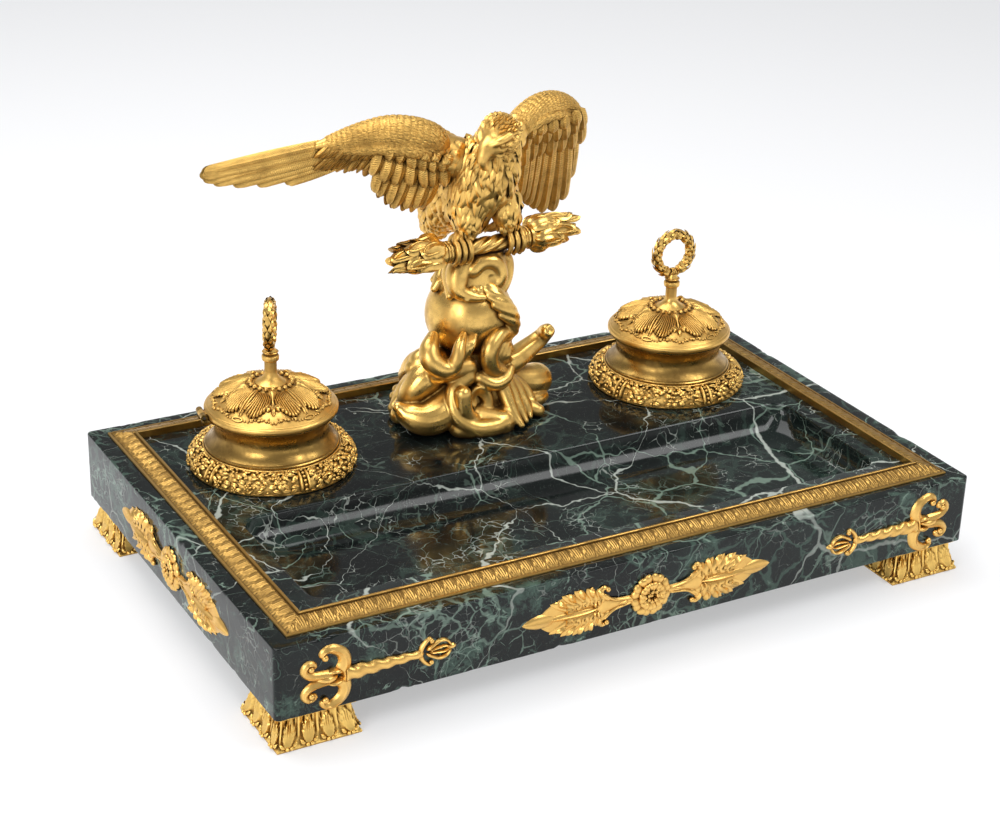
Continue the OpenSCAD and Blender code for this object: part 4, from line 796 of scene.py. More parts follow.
def torch(bm):
    """A torch along +X from its small tip to the scrolls at its outer end, its back at z = 0."""
    hub = 0.77 * torch_l

    def shaft(u, v):
        x = 19 + (hub - 21) * v
        r, a = 1.9 + 2.3 * v, pi * min(1, u * 17 / 16)
        closing = sqrt(min(1, 30 * v + 0.1, 30 * (1 - v) + 0.1))
        if u > 0.97:
            a = 0
        flute = 1 + 0.11 * sin(2 * pi * 5.5 * v + 2 * a)
        return Vector((x, r * cos(a) * closing * flute, (r * sin(a) * 0.95 + 0.3) * closing * flute))
    surface(bm, 17, 90, shaft)
    leaf(bm, [(0.3, 0), (3, 0), (6, 0)], swell(1.6), swell(1.6), across=6, along=8, sink=-0.2)
    for s in (-1, 1):
        leaf(bm, [(3.4, s * 0.6), (6, s * 4.2), (10, s * 5.0), (13.6, s * 3.4), (17.5, s * 0.9)], taper(0.8, 1.1),
             taper(1.7, 2.0), across=6, along=20, sink=-0.1)
        leaf(bm, [(3.8, s * 0.4), (7, s * 1.5), (11, s * 1.3), (16, s * 0.4)], taper(0.5, 0.7), taper(1.8, 2.0),
             across=4, along=14, sink=-0.1)
        leaf(bm, [(21, s * 0.6), (19.5, s * 4.2), (16.2, s * 7.4), (13.9, s * 6.4)], taper(1.5, 0.8, 0.12),
             taper(1.9, 1.4, 0.12), across=6, along=14, sink=-0.1)
        ball(bm, (14.8, s * 6.2, 0.9), 1.35, 12)
        horn = through((hub - 1, s * 1), (hub - 3.5, s * 7), (hub - 1.6, s * 12.6), (hub + 4.2, s * 15.9),
                       (hub + 8.4, s * 14.6), (hub + 8.8, s * 11.6))
        blade(bm, horn, UP, lambda t: (4.3 - 2.9 * t) * sqrt(min(1, 14 * t, 14 * (1 - t))),
              lambda t: (2.8 - 1.1 * t) * sqrt(min(1, 14 * t, 14 * (1 - t))), across=8, along=26, rib=0.25, sink=0)
        ball(bm, (hub + 7.6, s * 12.0, 1.1), 1.8, 12)
        leaf(bm, [(hub - 4, s * 1.4), (hub + 2, s * 3.4), (hub + 8, s * 2.6)], swell(1.5), swell(3.6), across=6,
             along=12, sink=0)
        scroll = through((hub + 2, s * 1.4), (hub + 9, s * 1.9), (hub + 15, s * 3.2), (hub + 18.4, s * 6.6),
                         (hub + 16.6, s * 10.0), (hub + 13.2, s * 9.2), (hub + 13.6, s * 6.9))
        blade(bm, scroll, UP, lambda t: (3.0 - 1.5 * t) * sqrt(min(1, 14 * t, 12 * (1 - t))),
              lambda t: (2.5 - 0.7 * t) * sqrt(min(1, 14 * t, 12 * (1 - t))), across=8, along=22, rib=0.2, sink=0)
        ball(bm, (hub + 15.2, s * 7.6, 1.3), 1.7, 12)
    for x, r in [(20.5, 3.0), (hub - 4.2, 4.9), (hub - 2.2, 5.4)]:
        leaf(bm, [(x, -r), (x, 0), (x, r)], taper(1.0, 1.0, 0.2), swell(r * 0.78, 1, 0.5), across=4, along=14, sink=0)
    leaf(bm, [(hub, 0), (hub + 6, 0), (hub + 13, 0)], swell(2.4), swell(4.0), across=6, along=10, sink=0)


def on_face(bm, x, y, facing, turned=0):
    """Stands what lies in XY on a face of the slab; facing turns it about the upright axis."""
    place = Matrix.Translation((x, y, mount_z)) @ Matrix.Rotation(radians(facing), 4, "Z") \
        @ Matrix.Rotation(radians(90), 4, "X") @ Matrix.Rotation(radians(turned), 4, "Z")
    bmesh.ops.transform(bm, matrix=place, verts=bm.verts)


for face, x, y, facing in [("front", 0, front_y, 0), ("left", -slab_w / 2, mid_y, -90),
                           ("right", slab_w / 2, mid_y, 90)]:
    names = {"front": ("left", "right"), "left": ("back", "front"), "right": ("front", "back")}[face]
    for turned, end in ((180, names[0]), (0, names[1])):
        bm = new_mesh()
        palmette(bm)
        on_face(bm, x, y, facing, turned)
        piece(bm, f"{face}_palmette_leaves_{end}", bright_gilt, "stand", [f"{face}_palmette_{end}"],
              50)
    bm = new_mesh()
    rosette(bm)
    on_face(bm, x, y, facing)
    piece(bm, face + "_rosette_petals", bright_gilt, "stand", [face + "_rosette"], 50)
for name, side in (("left", -1), ("right", 1)):
    bm = new_mesh()
    torch(bm)
    if side < 0:
        bmesh.ops.scale(bm, vec=(-1, 1, 1), verts=bm.verts)
        bmesh.ops.reverse_faces(bm, faces=bm.faces)
    on_face(bm, side * (slab_w / 2 - 14 - torch_l), front_y, 0)
    piece(bm, "torch_cast_" + name, bright_gilt, "stand", ["torch_" + name], 50)


# The inkwells
# Each is a garland flange, a turned body with a waist, a glass liner that lifts out, and a bolt with a nut in the
# slab's pocket. The flange is cast with leaves, flowers and berries that five beaded bands bind; the body is satin,
# its colour darkened with painted shade.
flange_r, flange_h, body_foot_r, waist_r, rim_z, rim_r = 48.1, 12, 38, 32, 33, 36.4
well_bore_r, liner_r, liner_wall, liner_h, body_floor = 27, 23.5, 2.1, 23.5, 4
liner_rim_r, liner_rim_t = well_bore_r + 1.4, 1.5
register_deep = 2
liner_top = rim_z - register_deep - 0.5
lid_r, lid_rim_h, dome_rise, dome_top_r, lid_wall = 37.7, 3.4, 12, 11.5, 1.8
knuckle_r = 1.9
hinge_r, hinge_z = lid_r + knuckle_r + 0.3, rim_z + 1.6
knuckle_half, lid_knuckle_half, knuckle_gap = 6.2, 2.3, 0.3
wells = [("left", -well_x, 172, 62), ("right", well_x, 90, 0)]


def turned(bm, outline, steps=128):
    """Turns an outline of (radius, height) once round the upright axis."""
    part = new_mesh()
    verts = [part.verts.new((r, 0, z)) for r, z in outline]
    edges = [part.edges.new(pair) for pair in zip(verts, verts[1:])]
    bmesh.ops.spin(part, geom=verts + edges, cent=(0, 0, 0), axis=(0, 0, 1), angle=2 * pi, steps=steps,
                   use_merge=True)
    bmesh.ops.remove_doubles(part, verts=part.verts, dist=SEAM)
    pour(bm, part)


def arc(cx, cz, r, start, end, steps):
    """Points of an arc in an outline, from one angle to another."""
    return [(cx + r * cos(radians(start + (end - start) * k / steps)),
             cz + r * sin(radians(start + (end - start) * k / steps))) for k in range(steps + 1)]


def bar(bm, at, size, turn):
    """A small block with softened edges, centred at a place."""
    block = bmesh.ops.create_cube(bm, size=1, matrix=Matrix.Diagonal((*size, 1)))["verts"]
    edges = list({e for v in block for e in v.link_edges})
    soft = bmesh.ops.bevel(bm, geom=edges, offset=0.25, offset_type="OFFSET", segments=2, profile=0.5,
                           affect="EDGES", material=-1)["verts"]
    block = [v for v in set(block + soft) if v.is_valid]
    bmesh.ops.transform(bm, matrix=Matrix.Rotation(radians(turn), 4, "Z") @ Matrix.Translation(at), verts=block)


def barrel(bm, at, r, length, turn):
    """A knuckle: a short cylinder that lies across the line towards the hinge."""
    place = Matrix.Rotation(radians(turn), 4, "Z") @ Matrix.Translation(at) @ Matrix.Rotation(pi / 2, 4, "X")
    bmesh.ops.create_cone(bm, cap_ends=True, segments=28, radius1=r, radius2=r, depth=length, matrix=place)


def flange_spot(angle, t):
    """A place on the garland's round, t from 0 on top to 1 at its outer foot, and the way it faces."""
    fall = radians(90 * (1 - t))
    wide, high = flange_r - body_foot_r - 1.6, flange_h - 2.6
    out = Vector((cos(angle), sin(angle), 0))
    spot = out * (body_foot_r + 0.6 + wide * cos(fall)) + UP * (1.6 + high * sin(fall))
    return spot, (out * (cos(fall) / wide) + UP * (sin(fall) / high)).normalized()


band_at = [-90, -18, 54, 126, 198]


def garland(bm, seed):
    """A flange cast with leaves, berries and flowers in rows, and five beaded bands over them."""
    rng = random.Random(seed)
    turned(bm, [(30, 0), (flange_r - 2.4, 0), (flange_r - 1.4, 0.5), (flange_r - 1.3, 1.3)] +
           [(body_foot_r + 0.6 + (flange_r - body_foot_r - 2.6) * cos(radians(9 * k)),
             1.6 + (flange_h - 3.4) * sin(radians(9 * k))) for k in range(11)] +
           [(body_foot_r + 0.7, flange_h - 0.6), (body_foot_r + 0.2, flange_h), (30, flange_h), (30, 0)], 96)
    clear = radians(4.6)

    def in_band(angle):
        return any(abs((angle - radians(b) + pi) % (2 * pi) - pi) < clear for b in band_at)
    for row in range(6):
        t = 0.1 + 0.155 * row
        count = 60
        for k in range(count):
            angle = 2 * pi * (k + 0.5 * (row % 2) + rng.uniform(-0.3, 0.3)) / count
            if in_band(angle):
                continue
            spot, face = flange_spot(angle, t + rng.uniform(-0.03, 0.03))
            tangent = UP.cross(face).normalized()
            kind = rng.random()
            if kind < 0.62:
                way = (tangent * (1 if rng.random() < 0.7 else -1) + face.cross(tangent) *
                       rng.uniform(-0.9, 0.9)).normalized()
                long = rng.uniform(2.2, 3.1)
                blade(bm, through(spot - way * long + face * 0.2, spot + face * rng.uniform(0.7, 1.2),
                                  spot + way * long + face * 0.1), face, swell(rng.uniform(1.0, 1.5), 0.8),
                      swell(0.75), across=4, along=4, rib=-0.35, sink=0.1)
            elif kind < 0.9:
                for _ in range(2):
                    ball(bm, spot + tangent * rng.uniform(-1.5, 1.5) + face * 0.7, rng.uniform(0.7, 1.0), 8)
            else:
                side = face.cross(tangent)
                for p in range(5):
                    a = 2 * pi * p / 5
                    ball(bm, spot + (tangent * cos(a) + side * sin(a)) * 1.25 + face * 0.6, 0.85, 7)
                ball(bm, spot + face * 1.2, 0.7, 7)
    for b in band_at:
        for lean in (-2.9, 2.9):
            angle = radians(b + lean)
            line = through(*[flange_spot(angle, t)[0] + flange_spot(angle, t)[1] * 0.6 for t
                             in (0, 0.25, 0.5, 0.75, 1)])
            middle = flange_spot(angle, 0.5)[1]
            blade(bm, line, middle, taper(0.85, 0.95, 0.1), taper(1.3, 1.3, 0.1), across=4, along=14, sink=0.4)
        for k in range(6):
            spot, face = flange_spot(radians(b), 0.08 + 0.165 * k)
            ball(bm, spot + face * 0.5, 1.0, 10)
    turned(bm, arc(body_foot_r + 0.5, flange_h - 0.3, 0.7, 0, 360, 8), 96)


garland_gilt = gilt("garland_gilding", (0.95, 0.60, 0.17), (0.10, 0.047, 0.013), reach=0.003, stain=0.3, sheen=0.34,
                    grain=0.4)
# Painted shade: the body's colour is darker than the rest of the gilding, for the shadow and dark reflections on it.
shaded_satin_gilt = gilt("satin_gilding_painted_shade", (0.50, 0.31, 0.085), (0.07, 0.034, 0.011), reach=0.007, stain=0.6, sheen=0.24,
                  grain=0.12)
steel, tree, shader, place = new_material("dark_steel")
specks = texture(tree, "ShaderNodeTexNoise", place, scale=160, detail=6, roughness=0.7)
rust = colour_ramp(tree, [(0.40, (0.10, 0.095, 0.09)), (0.58, (0.16, 0.15, 0.14)), (0.72, (0.13, 0.055, 0.02))])
worn = colour_ramp(tree, [(0.4, 0.35), (0.7, 0.75)])
bump = node(tree, "ShaderNodeBump", strength=0.4, distance=0.0002)
link(tree, (specks.outputs["Fac"], rust.inputs[0]), (rust.outputs[0], shader.inputs["Base Color"]),
     (specks.outputs["Fac"], worn.inputs[0]), (worn.outputs[0], shader.inputs["Roughness"]),
     (specks.outputs["Fac"], bump.inputs["Height"]), (bump.outputs[0], shader.inputs["Normal"]))
shader.inputs["Metallic"].default_value = 0.9
glass, tree, shader, place = new_material("liner_glass")
shader.inputs["Base Color"].default_value = (0.86, 0.95, 0.93, 1)
shader.inputs["Roughness"].default_value = 0.03
shader.inputs["Transmission Weight"].default_value = 1
shader.inputs["IOR"].default_value = 1.5
ink, tree, shader, place = new_material("dried_ink")
crust = texture(tree, "ShaderNodeTexNoise", place, scale=350, detail=6, roughness=0.6)
tone = colour_ramp(tree, [(0.4, (0.004, 0.005, 0.012)), (0.7, (0.014, 0.012, 0.022))])
bump = node(tree, "ShaderNodeBump", strength=0.5, distance=0.0004)
link(tree, (crust.outputs["Fac"], tone.inputs[0]), (tone.outputs[0], shader.inputs["Base Color"]),
     (crust.outputs["Fac"], bump.inputs["Height"]), (bump.outputs[0], shader.inputs["Normal"]))
shader.inputs["Roughness"].default_value = 0.45


def at_well(bm, x):
    """Puts a piece that was made round an inkwell's axis on the slab."""
    shift(bm, (x, well_y, top_z))


waist_line = [(waist_r + ((body_foot_r - 0.6 if t < 0.5 else rim_r - 0.6) - waist_r) * abs(2 * t - 1) ** 2.2,
               flange_h + 1.8 + (rim_z - flange_h - 3.6) * t) for t in [k / 24 for k in range(25)]]
for name, x, hinge_az, wreath_az in wells:
    bm = new_mesh()
    garland(bm, 11 if x < 0 else 23)
    at_well(bm, x)
    piece(bm, name + "_garland", garland_gilt, "stand", [name + "_flange"], 50)

    bm = new_mesh()
    turned(bm, [(3.4, 0), (29.8, 0), (29.8, flange_h), (body_foot_r - 0.5, flange_h), (body_foot_r, flange_h + 0.5),
                (body_foot_r, flange_h + 1.3), (body_foot_r - 0.5, flange_h + 1.8)] + waist_line +
           [(rim_r - 0.3, rim_z - 1.7), (rim_r, rim_z - 1.3), (rim_r, rim_z - 0.3), (rim_r - 0.3, rim_z),
            (liner_rim_r + 0.4, rim_z), (liner_rim_r + 0.2, rim_z - 0.2),
            (liner_rim_r + 0.2, liner_top - liner_rim_t), (well_bore_r, liner_top - liner_rim_t),
            (well_bore_r, body_floor), (3.4, body_floor), (3.4, 0)])
    lug = knuckle_half - lid_knuckle_half - knuckle_gap
    for s in (-1, 1):
        middle = s * (knuckle_half + lid_knuckle_half + knuckle_gap) / 2
        barrel(bm, (hinge_r, middle, hinge_z), knuckle_r, lug, hinge_az)
        bar(bm, ((rim_r - 2 + hinge_r + knuckle_r * 0.6) / 2, middle, rim_z - 1.45),
            (hinge_r - rim_r + 2 + knuckle_r * 0.6, lug, 2.3), hinge_az)
        bar(bm, (lid_r + 0.3 + knuckle_r * 0.8, middle, (rim_z - 2.6 + hinge_z) / 2),
            (knuckle_r * 1.6, lug, hinge_z - rim_z + 2.6), hinge_az)
    at_well(bm, x)
    piece(bm, name + "_body", shaded_satin_gilt, "stand", [name + "_well_body"], 40)

    bm = new_mesh()
    outer, foot_z = liner_r + liner_wall, liner_top - liner_h
    turned(bm, [(0, foot_z), (outer - 1, foot_z), (outer, foot_z + 1), (outer, liner_top - liner_rim_t),
                (liner_rim_r - 0.3, liner_top - liner_rim_t), (liner_rim_r, liner_top - liner_rim_t + 0.3),
                (liner_rim_r, liner_top - 0.3), (liner_rim_r - 0.3, liner_top), (liner_r + 0.4, liner_top),
                (liner_r, liner_top - 0.4), (liner_r, foot_z + 5), (liner_r - 2.3, foot_z + liner_wall + 0.6),
                (0, foot_z + liner_wall + 0.6)])
    at_well(bm, x)
    piece(bm, name + "_glass", glass, "stand", [name + "_ink_liner"])
    bm = new_mesh()
    turned(bm, [(0, foot_z + 2.9), (liner_r - 2.3, foot_z + 2.9), (liner_r - 0.4, foot_z + 5.2),
                (liner_r - 0.9, foot_z + 5.6), (liner_r - 3.2, foot_z + 3.9), (0, foot_z + 3.6)], 64)
    at_well(bm, x)
    piece(bm, name + "_ink_crust", ink, "stand")


# The bolts, nuts, hinge pins and screws
# Plain darkened steel, as the model has them. They hold the parts together from below, out of sight.
for name in ["foot_screws", "tie_rod", "tie_nut"] + [s + n for s in ("left_", "right_")
                                                     for n in ("well_bolt", "well_nut", "hinge_pin", "finial_nut")]:
    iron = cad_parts[name]
    iron.data.materials.clear()
    iron.data.materials.append(steel)


# The lids
# A shallow dome with five chased palmettes round a turned finial. A raised ring underneath enters the body's rim, and
# the middle knuckle of the hinge stands out behind. The recesses between the leaves keep their brown ground, under
# painted shade.
lid_top = rim_z + lid_rim_h + dome_rise
dome_foot_z, dome_foot_r = rim_z + lid_rim_h - 0.6, lid_r - 0.6
dome_z = (dome_top_r ** 2 + lid_top ** 2 - dome_foot_r ** 2 - dome_foot_z ** 2) / (2 * (lid_top - dome_foot_z))
dome_r = hypot(dome_foot_r, dome_foot_z - dome_z)
register_r, register_t, stud_r = liner_rim_r - 0.3, 1.4, 2
motifs, first_motif, collar_leaves, edge_ring_r = 5, -110.8, 20, 33.4


def on_dome(turn, r, high):
    """A place over the lid's dome, at an angle and a distance from the finial, standing so high off it."""
    a = radians(turn)
    flat = Vector((r * cos(a), r * sin(a), sqrt(dome_r ** 2 - r * r)))
    return flat * (1 + high / dome_r) + UP * dome_z


def off_dome(spot):
    """The way that the dome faces at a place."""
    return (spot - UP * dome_z).normalized()


def dome_leaf(bm, places, half, crown, **more):
    """A leaf on the dome through places of (angle, distance, height)."""
    blade(bm, through(*[on_dome(*place) for place in places]), off_dome, half, crown, **more)


def lid_palmette(bm, at):
    """One of the lid's palmettes: a bud on its stalk, lobes to each side, long leaves and a border."""
    dome_leaf(bm, [(at, 14.2, 0.9), (at, 16.5, 1.4), (at, 20, 0.7), (at, 25, 0.3)],
              lambda t: (2.7 - 1.9 * smooth_step(0, 0.7, t)) * min(1, 9 * t, 9 * (1 - t)) ** 0.5,
              lambda t: (2.2 - 1.0 * t) * min(1, 9 * t, 9 * (1 - t)) ** 0.5, across=6, along=12, sink=0.3)
    for k, (lean, r) in enumerate([(-5.6, 27.6), (5.6, 27.6), (0, 30.4)]):
        dome_leaf(bm, [(at + lean * 0.35, 24.6, 0.3), (at + lean, (24.6 + r) / 2, 0.9), (at + lean * 1.25, r, 0.2)],
                  swell(1.3), swell(1.3), across=4, along=6, rib=-0.3)
    for s in (-1, 1):
        dome_leaf(bm, [(at + s * 2, 24.6, 0.2), (at + s * 7.2, 23.2, 0.5), (at + s * 10.8, 20.6, 0.6),
                       (at + s * 8.2, 18.6, 0.5)], taper(0.8, 0.55), taper(1.0, 0.8), across=4, along=10)
        for k in range(9):
            a0, a1, r1 = 3.8 + 3.15 * k, 7.6 + 3.05 * k, 26.4 + 5.2 * sin(radians(20 * k))
            dome_leaf(bm, [(at + s * (a0 + 0.8), 13.4, 0.2), (at + s * (a0 - 0.6), 17.6, 0.7),
                           (at + s * (a1 - 2.2), 23, 0.8), (at + s * a1, r1 - 1.4, 1.3),
                           (at + s * (a1 + 1.2), r1, 0.5)], lambda t: (0.36 + 0.5 * t) *
                      min(1, 9 * t, 7 * (1 - t)) ** 0.5, lambda t: (0.85 + 0.55 * t) *
                      min(1, 9 * t, 7 * (1 - t)) ** 0.5, across=4, along=12, sink=0.2)
        dome_leaf(bm, [(at + s * 34.8, 12.6, 0.3), (at + s * 33.4, 18, 0.9), (at + s * 34.0, 25, 0.9),
                       (at + s * 35.0, 32, 0.2)], taper(0.55, 0.8), taper(1.25, 1.35), across=4, along=16)
        for k in range(9):
            a = at + s * (1.6 + 3.3 * k)
            r = 33.6 - 1.5 * sin(radians(180 * min(1, k / 7)))
            ball(bm, on_dome(a, r, 0.2), 0.72 + 0.25 * (k % 3 == 0), 8)
        for k in range(3):
            dome_leaf(bm, [(at + s * (3.5 + 7.5 * k), 30.6, 0.2), (at + s * (7.0 + 7.5 * k), 32.8, 0.9),
                           (at + s * (9.8 + 7.5 * k), 31.2, 0.2)], swell(0.65), swell(0.9), across=4, along=8)
    eye = on_dome(at + 180 / motifs, edge_ring_r, 0.3)
    face = off_dome(eye)
    across = UP.cross(face).normalized()
    radial = face.cross(across)
    ring_half_w, ring_half_d, ring_wire = 3.1, 1.25, 0.45

    def ring(u, v):
        a, b = 2 * pi * u, 2 * pi * v
        middle = eye + across * (ring_half_w * cos(a)) + radial * (ring_half_d * sin(a))
        outwards = across * cos(a) + radial * sin(a)
        return middle + outwards * (ring_wire * cos(b)) + face * (ring_wire * sin(b))
    surface(bm, 22, 6, ring)
    ball(bm, on_dome(at, 27.4, 0.9), 0.9, 8)


def lid(bm, hinge_az):
    """A lid with its chased dome, its ring underneath and its part of the hinge."""
    low, high = atan2(dome_foot_z - dome_z, dome_foot_r), atan2(lid_top - dome_z, dome_top_r)
    top = [(dome_r * cos(a), dome_z + dome_r * sin(a)) for a in [low + (high - low) * k / 16 for k in range(17)]]
    inner = [(r * (dome_r - lid_wall) / dome_r, dome_z + (z - dome_z) * (dome_r - lid_wall) / dome_r)
             for r, z in reversed(top[2:])]
    turned(bm, [(stud_r, lid_top - lid_wall), (stud_r, lid_top), (dome_top_r, lid_top)] + list(reversed(top))[1:] +
           [(lid_r - 0.25, dome_foot_z - 0.25), (lid_r, dome_foot_z - 0.8)] +
           arc(lid_r - 0.8, rim_z + 0.8, 0.8, 0, -90, 5) +
           [(register_r, rim_z), (register_r, rim_z - register_deep + 0.3), (register_r - 0.3, rim_z - register_deep),
            (register_r - register_t, rim_z - register_deep), (register_r - register_t, rim_z + 1.6),
            (inner[-1][0], rim_z + 1.6)] + list(reversed(inner)) + [(stud_r, lid_top - lid_wall)])
    for k in range(motifs):
        lid_palmette(bm, first_motif + 360 / motifs * k)
    for k in range(collar_leaves):
        a = 360 / collar_leaves * k
        dome_leaf(bm, [(a, 10.0, 0.4), (a, 11.6, 1.5), (a, 13.4, 0.4)], swell(1.25, 1, 0.6), swell(1.3), across=4,
                  along=6, sink=0.3)
    turned(bm, arc(lid_r - 1.8, dome_foot_z + 0.35, 0.7, 0, 360, 8), 128)
    barrel(bm, (hinge_r, 0, hinge_z), knuckle_r, 2 * lid_knuckle_half, hinge_az)
    bar(bm, ((lid_r - 2 + hinge_r) / 2, 0, hinge_z), (hinge_r - lid_r + 2, 2 * lid_knuckle_half, 1.8), hinge_az)


lid_gilt = gilt("lid_gilding", (0.84, 0.52, 0.145), (0.12, 0.056, 0.016), reach=0.003, stain=0.3, sheen=0.33,
                grain=0.35)
for name, x, hinge_az, wreath_az in wells:
    bm = new_mesh()
    lid(bm, hinge_az)
    at_well(bm, x)
    piece(bm, name + "_lid_dome", lid_gilt, name + "_lid", [name + "_lid"], 50)


# The finials
# A turned stem with a trumpet foot and a cupped collar carries a laurel wreath, in which two branches rise from a
# tie at the foot to a tie at the crown. The stem's stud goes through the lid, with a small nut below.
stem_h, stem_foot_r, wreath_r = 19.2, 9, 11.8
wreath_z = lid_top + stem_h + wreath_r + 2.7 + 1.2


def wreath(bm):
    """The wreath in the XZ plane round its own middle."""
    def ring_spot(turn, r, roll=0.0):
        """A place on the ring or round it, and the way that it faces."""
        a, b = radians(turn), radians(roll)
        out = Vector((cos(a), 0, sin(a)))
        return out * (wreath_r + r * cos(b)) + Vector((0, r * sin(b), 0)), \
            out * cos(b) + Vector((0, sin(b), 0))

    surface(bm, 48, 8, lambda u, v: ring_spot(360 * u, 0.95, 360 * v)[0])
    for s in (-1, 1):
        for k in range(11):
            start = -90 + s * (10 + 14.2 * k)
            for j in range(6):
                turn = 60 * j + 30 * (k % 2)
                outer = max(0, cos(radians(turn)))
                reach = 25 + 7 * outer
                root, face = ring_spot(start, 0.9, turn)
                belly, _ = ring_spot(start + s * reach * 0.5, 2.3 + 0.4 * outer, turn)
                tip, _ = ring_spot(start + s * reach, 2.7 + 1.6 * outer ** 2, turn)
                blade(bm, through(root, belly, tip), face, swell(1.75, 0.85, 0.9), swell(0.55), across=4, along=8,
                      rib=0.8, sink=0.1)
    for middle, spread in ((-90, 9), (90, 7)):
        for k in (-1, 0, 1):
            at = middle + spread * 0.62 * k
            surface(bm, 8, 20, lambda u, v,
                    at=at: ring_spot(at + 2.2 * cos(2 * pi * u), 2.1 + 0.5 * sin(2 * pi * u), 360 * v)[0])
        for k in range(-2, 3):
            for y in (-2.35, 2.35):
                at = ring_spot(middle, 0)[0] + Vector((1.3 * k, y, 0))
                ball(bm, at, 0.55, 7)
    for s in (-1, 1):
        blade(bm, through((0, 0, -wreath_r - 2.6), (s * 3.2, 0, -wreath_r - 2.4), (s * 6.6, 0, -wreath_r - 0.4)),
              Vector((0, -1, 0)), swell(1.3, 0.8), swell(0.8), across=4, along=8)
    bmesh.ops.create_cone(bm, cap_ends=True, segments=24, radius1=3.6, radius2=2.4, depth=2.6,
                          matrix=Matrix.Translation((0, 0, -wreath_r - 2.55)))


laurel_gilt = gilt("laurel_gilding", (0.86, 0.54, 0.15), (0.16, 0.08, 0.022), reach=0.0016, stain=0.3, sheen=0.33,
                   grain=0.3)
for name, x, hinge_az, wreath_az in wells:
    bm = new_mesh()
    neck_z = 0.4 * stem_h
    trumpet = [(3.5 + (stem_foot_r - 0.7 - 3.5) * (1 - k / 12) ** 2.4, 1.2 + (neck_z - 1.2) * k / 12) for k
               in range(13)]
    turned(bm, [(0, -5.4), (1.7, -5.4), (2, -5.1), (2, 0), (stem_foot_r - 0.3, 0), (stem_foot_r, 0.35),
                (stem_foot_r - 0.2, 0.9)] + trumpet + [(3.45, stem_h - 5.4)] +
           arc(4.0, stem_h - 4.6, 0.8, 270, 360, 4) + arc(4.0, stem_h - 2.9, 0.9, 0, 90, 4) +
           [(3.6, stem_h - 1.7), (4.1, stem_h - 0.8), (4.7, stem_h - 0.2), (4.5, stem_h), (0, stem_h)], 64)
    shift(bm, (0, 0, lid_top))
    at_well(bm, x)
    piece(bm, name + "_stem", garland_gilt, name + "_lid", [name + "_finial_stem"])
    bm = new_mesh()
    wreath(bm)
    bmesh.ops.rotate(bm, cent=(0, 0, 0), matrix=Matrix.Rotation(radians(wreath_az), 3, "Z"), verts=bm.verts)
    shift(bm, (0, 0, wreath_z))
    at_well(bm, x)
    piece(bm, name + "_laurel", laurel_gilt, name + "_lid", [name + "_wreath"], 50)


# The clouds and the globe
# A bare cast globe rests on a bank of cloud that curls up round it, and a column of cloud carries the eagle's
# thunderbolt. All is gilt bronze, burnished on the rolls and dark in the folds with painted shade over the patina.
# A rod holds the pile together.
globe_r, globe_z, column_top = 26, 62, 102.7
group_at = Vector((0, eagle_y, top_z))


def roll(bm, *beads, steps=7, sides=20, flutes=0, depth=0.0):
    """A closed roll with round ends along beads, each of them a place and a radius."""
    line, rows, caps = through(*beads), steps * (len(beads) - 1), 4
    spots = [line(k / rows) for k in range(rows + 1)]
    frames, side = [], Vector((0.3, 0.5, 0.81))
    for k, spot in enumerate(spots):
        ahead = (spots[min(k + 1, rows)] - spots[max(k - 1, 0)]).xyz.normalized()
        side = (side - ahead * side.dot(ahead)).normalized()
        frames.append((spot.xyz, ahead, side, ahead.cross(side), max(0.2, spot.w)))

    def place(u, v):
        k = round(v * (rows + 2 * caps)) - caps
        middle, ahead, side, up, r = frames[max(0, min(k, rows))]
        over = radians(90 * max(-k, k - rows, 0) / caps)
        middle = middle + ahead * (r * sin(over) * (1 if k > 0 else -1))
        a = 2 * pi * u
        r *= cos(over) * (1 + depth * cos(flutes * a))
        return middle + side * (r * cos(a)) + up * (r * sin(a))
    surface(bm, sides, rows + 2 * caps, place)


def fused(bm, grain, rounds):
    """One skin round a heap of closed parts, its joints softened."""
    heap = bpy.data.objects.new("heap", bpy.data.meshes.new("heap"))
    bm.to_mesh(heap.data)
    bm.free()
    scene.collection.objects.link(heap)
    skin = heap.modifiers.new("skin", "REMESH")
    skin.mode, skin.voxel_size = "VOXEL", grain
    soft = heap.modifiers.new("soft", "SMOOTH")
    soft.factor, soft.iterations = 0.5, rounds
    done = new_mesh()
    done.from_object(heap, bpy.context.evaluated_depsgraph_get())
    bpy.data.objects.remove(heap)
    return done


def press(bm, at, r, depth, way):
    """Pushes a skin in, in a round hollow of radius r, the way given."""
    at, way = Vector(at), Vector(way).normalized()
    for v in bm.verts:
        near = 1 - ((v.co - at) / r).length_squared
        if near > 0:
            v.co += way * (depth * near * near)


def spiral(bm, at, out, up, r, turns, thick, drift):
    """A roll that winds in round a middle, from radius r and the first thickness to its heart."""
    at, out, up = Vector(at), Vector(out).normalized(), Vector(up).normalized()
    ahead = out.cross(up)
    beads = []
    for k in range(int(10 * turns) + 1):
        t = k / (10 * turns)
        a, far = 2 * pi * turns * t, r * (1 - 0.8 * t ** 0.8)
        spot = at + out * (far * cos(a)) + up * (far * sin(a)) + ahead * (drift * t)
        beads.append((*spot, thick[0] + (thick[1] - thick[0]) * t))
    roll(bm, *beads, steps=3, sides=14)


def finish_group(bm, name, material, replaced):
    """Puts a piece that was made round the globe's axis in its place on the slab and finishes it."""
    shift(bm, group_at)
    piece(bm, name, material, "stand", [replaced], crease=60)


# Its wide reach spreads the painted shade deep into the folds.
cloud_gilt = gilt("cloud_gilding", (1.0, 0.64, 0.185), (0.12, 0.056, 0.015), reach=0.007, stain=0.4, sheen=0.26,
                  grain=0.25)
rng = random.Random(11)
bm = new_mesh()
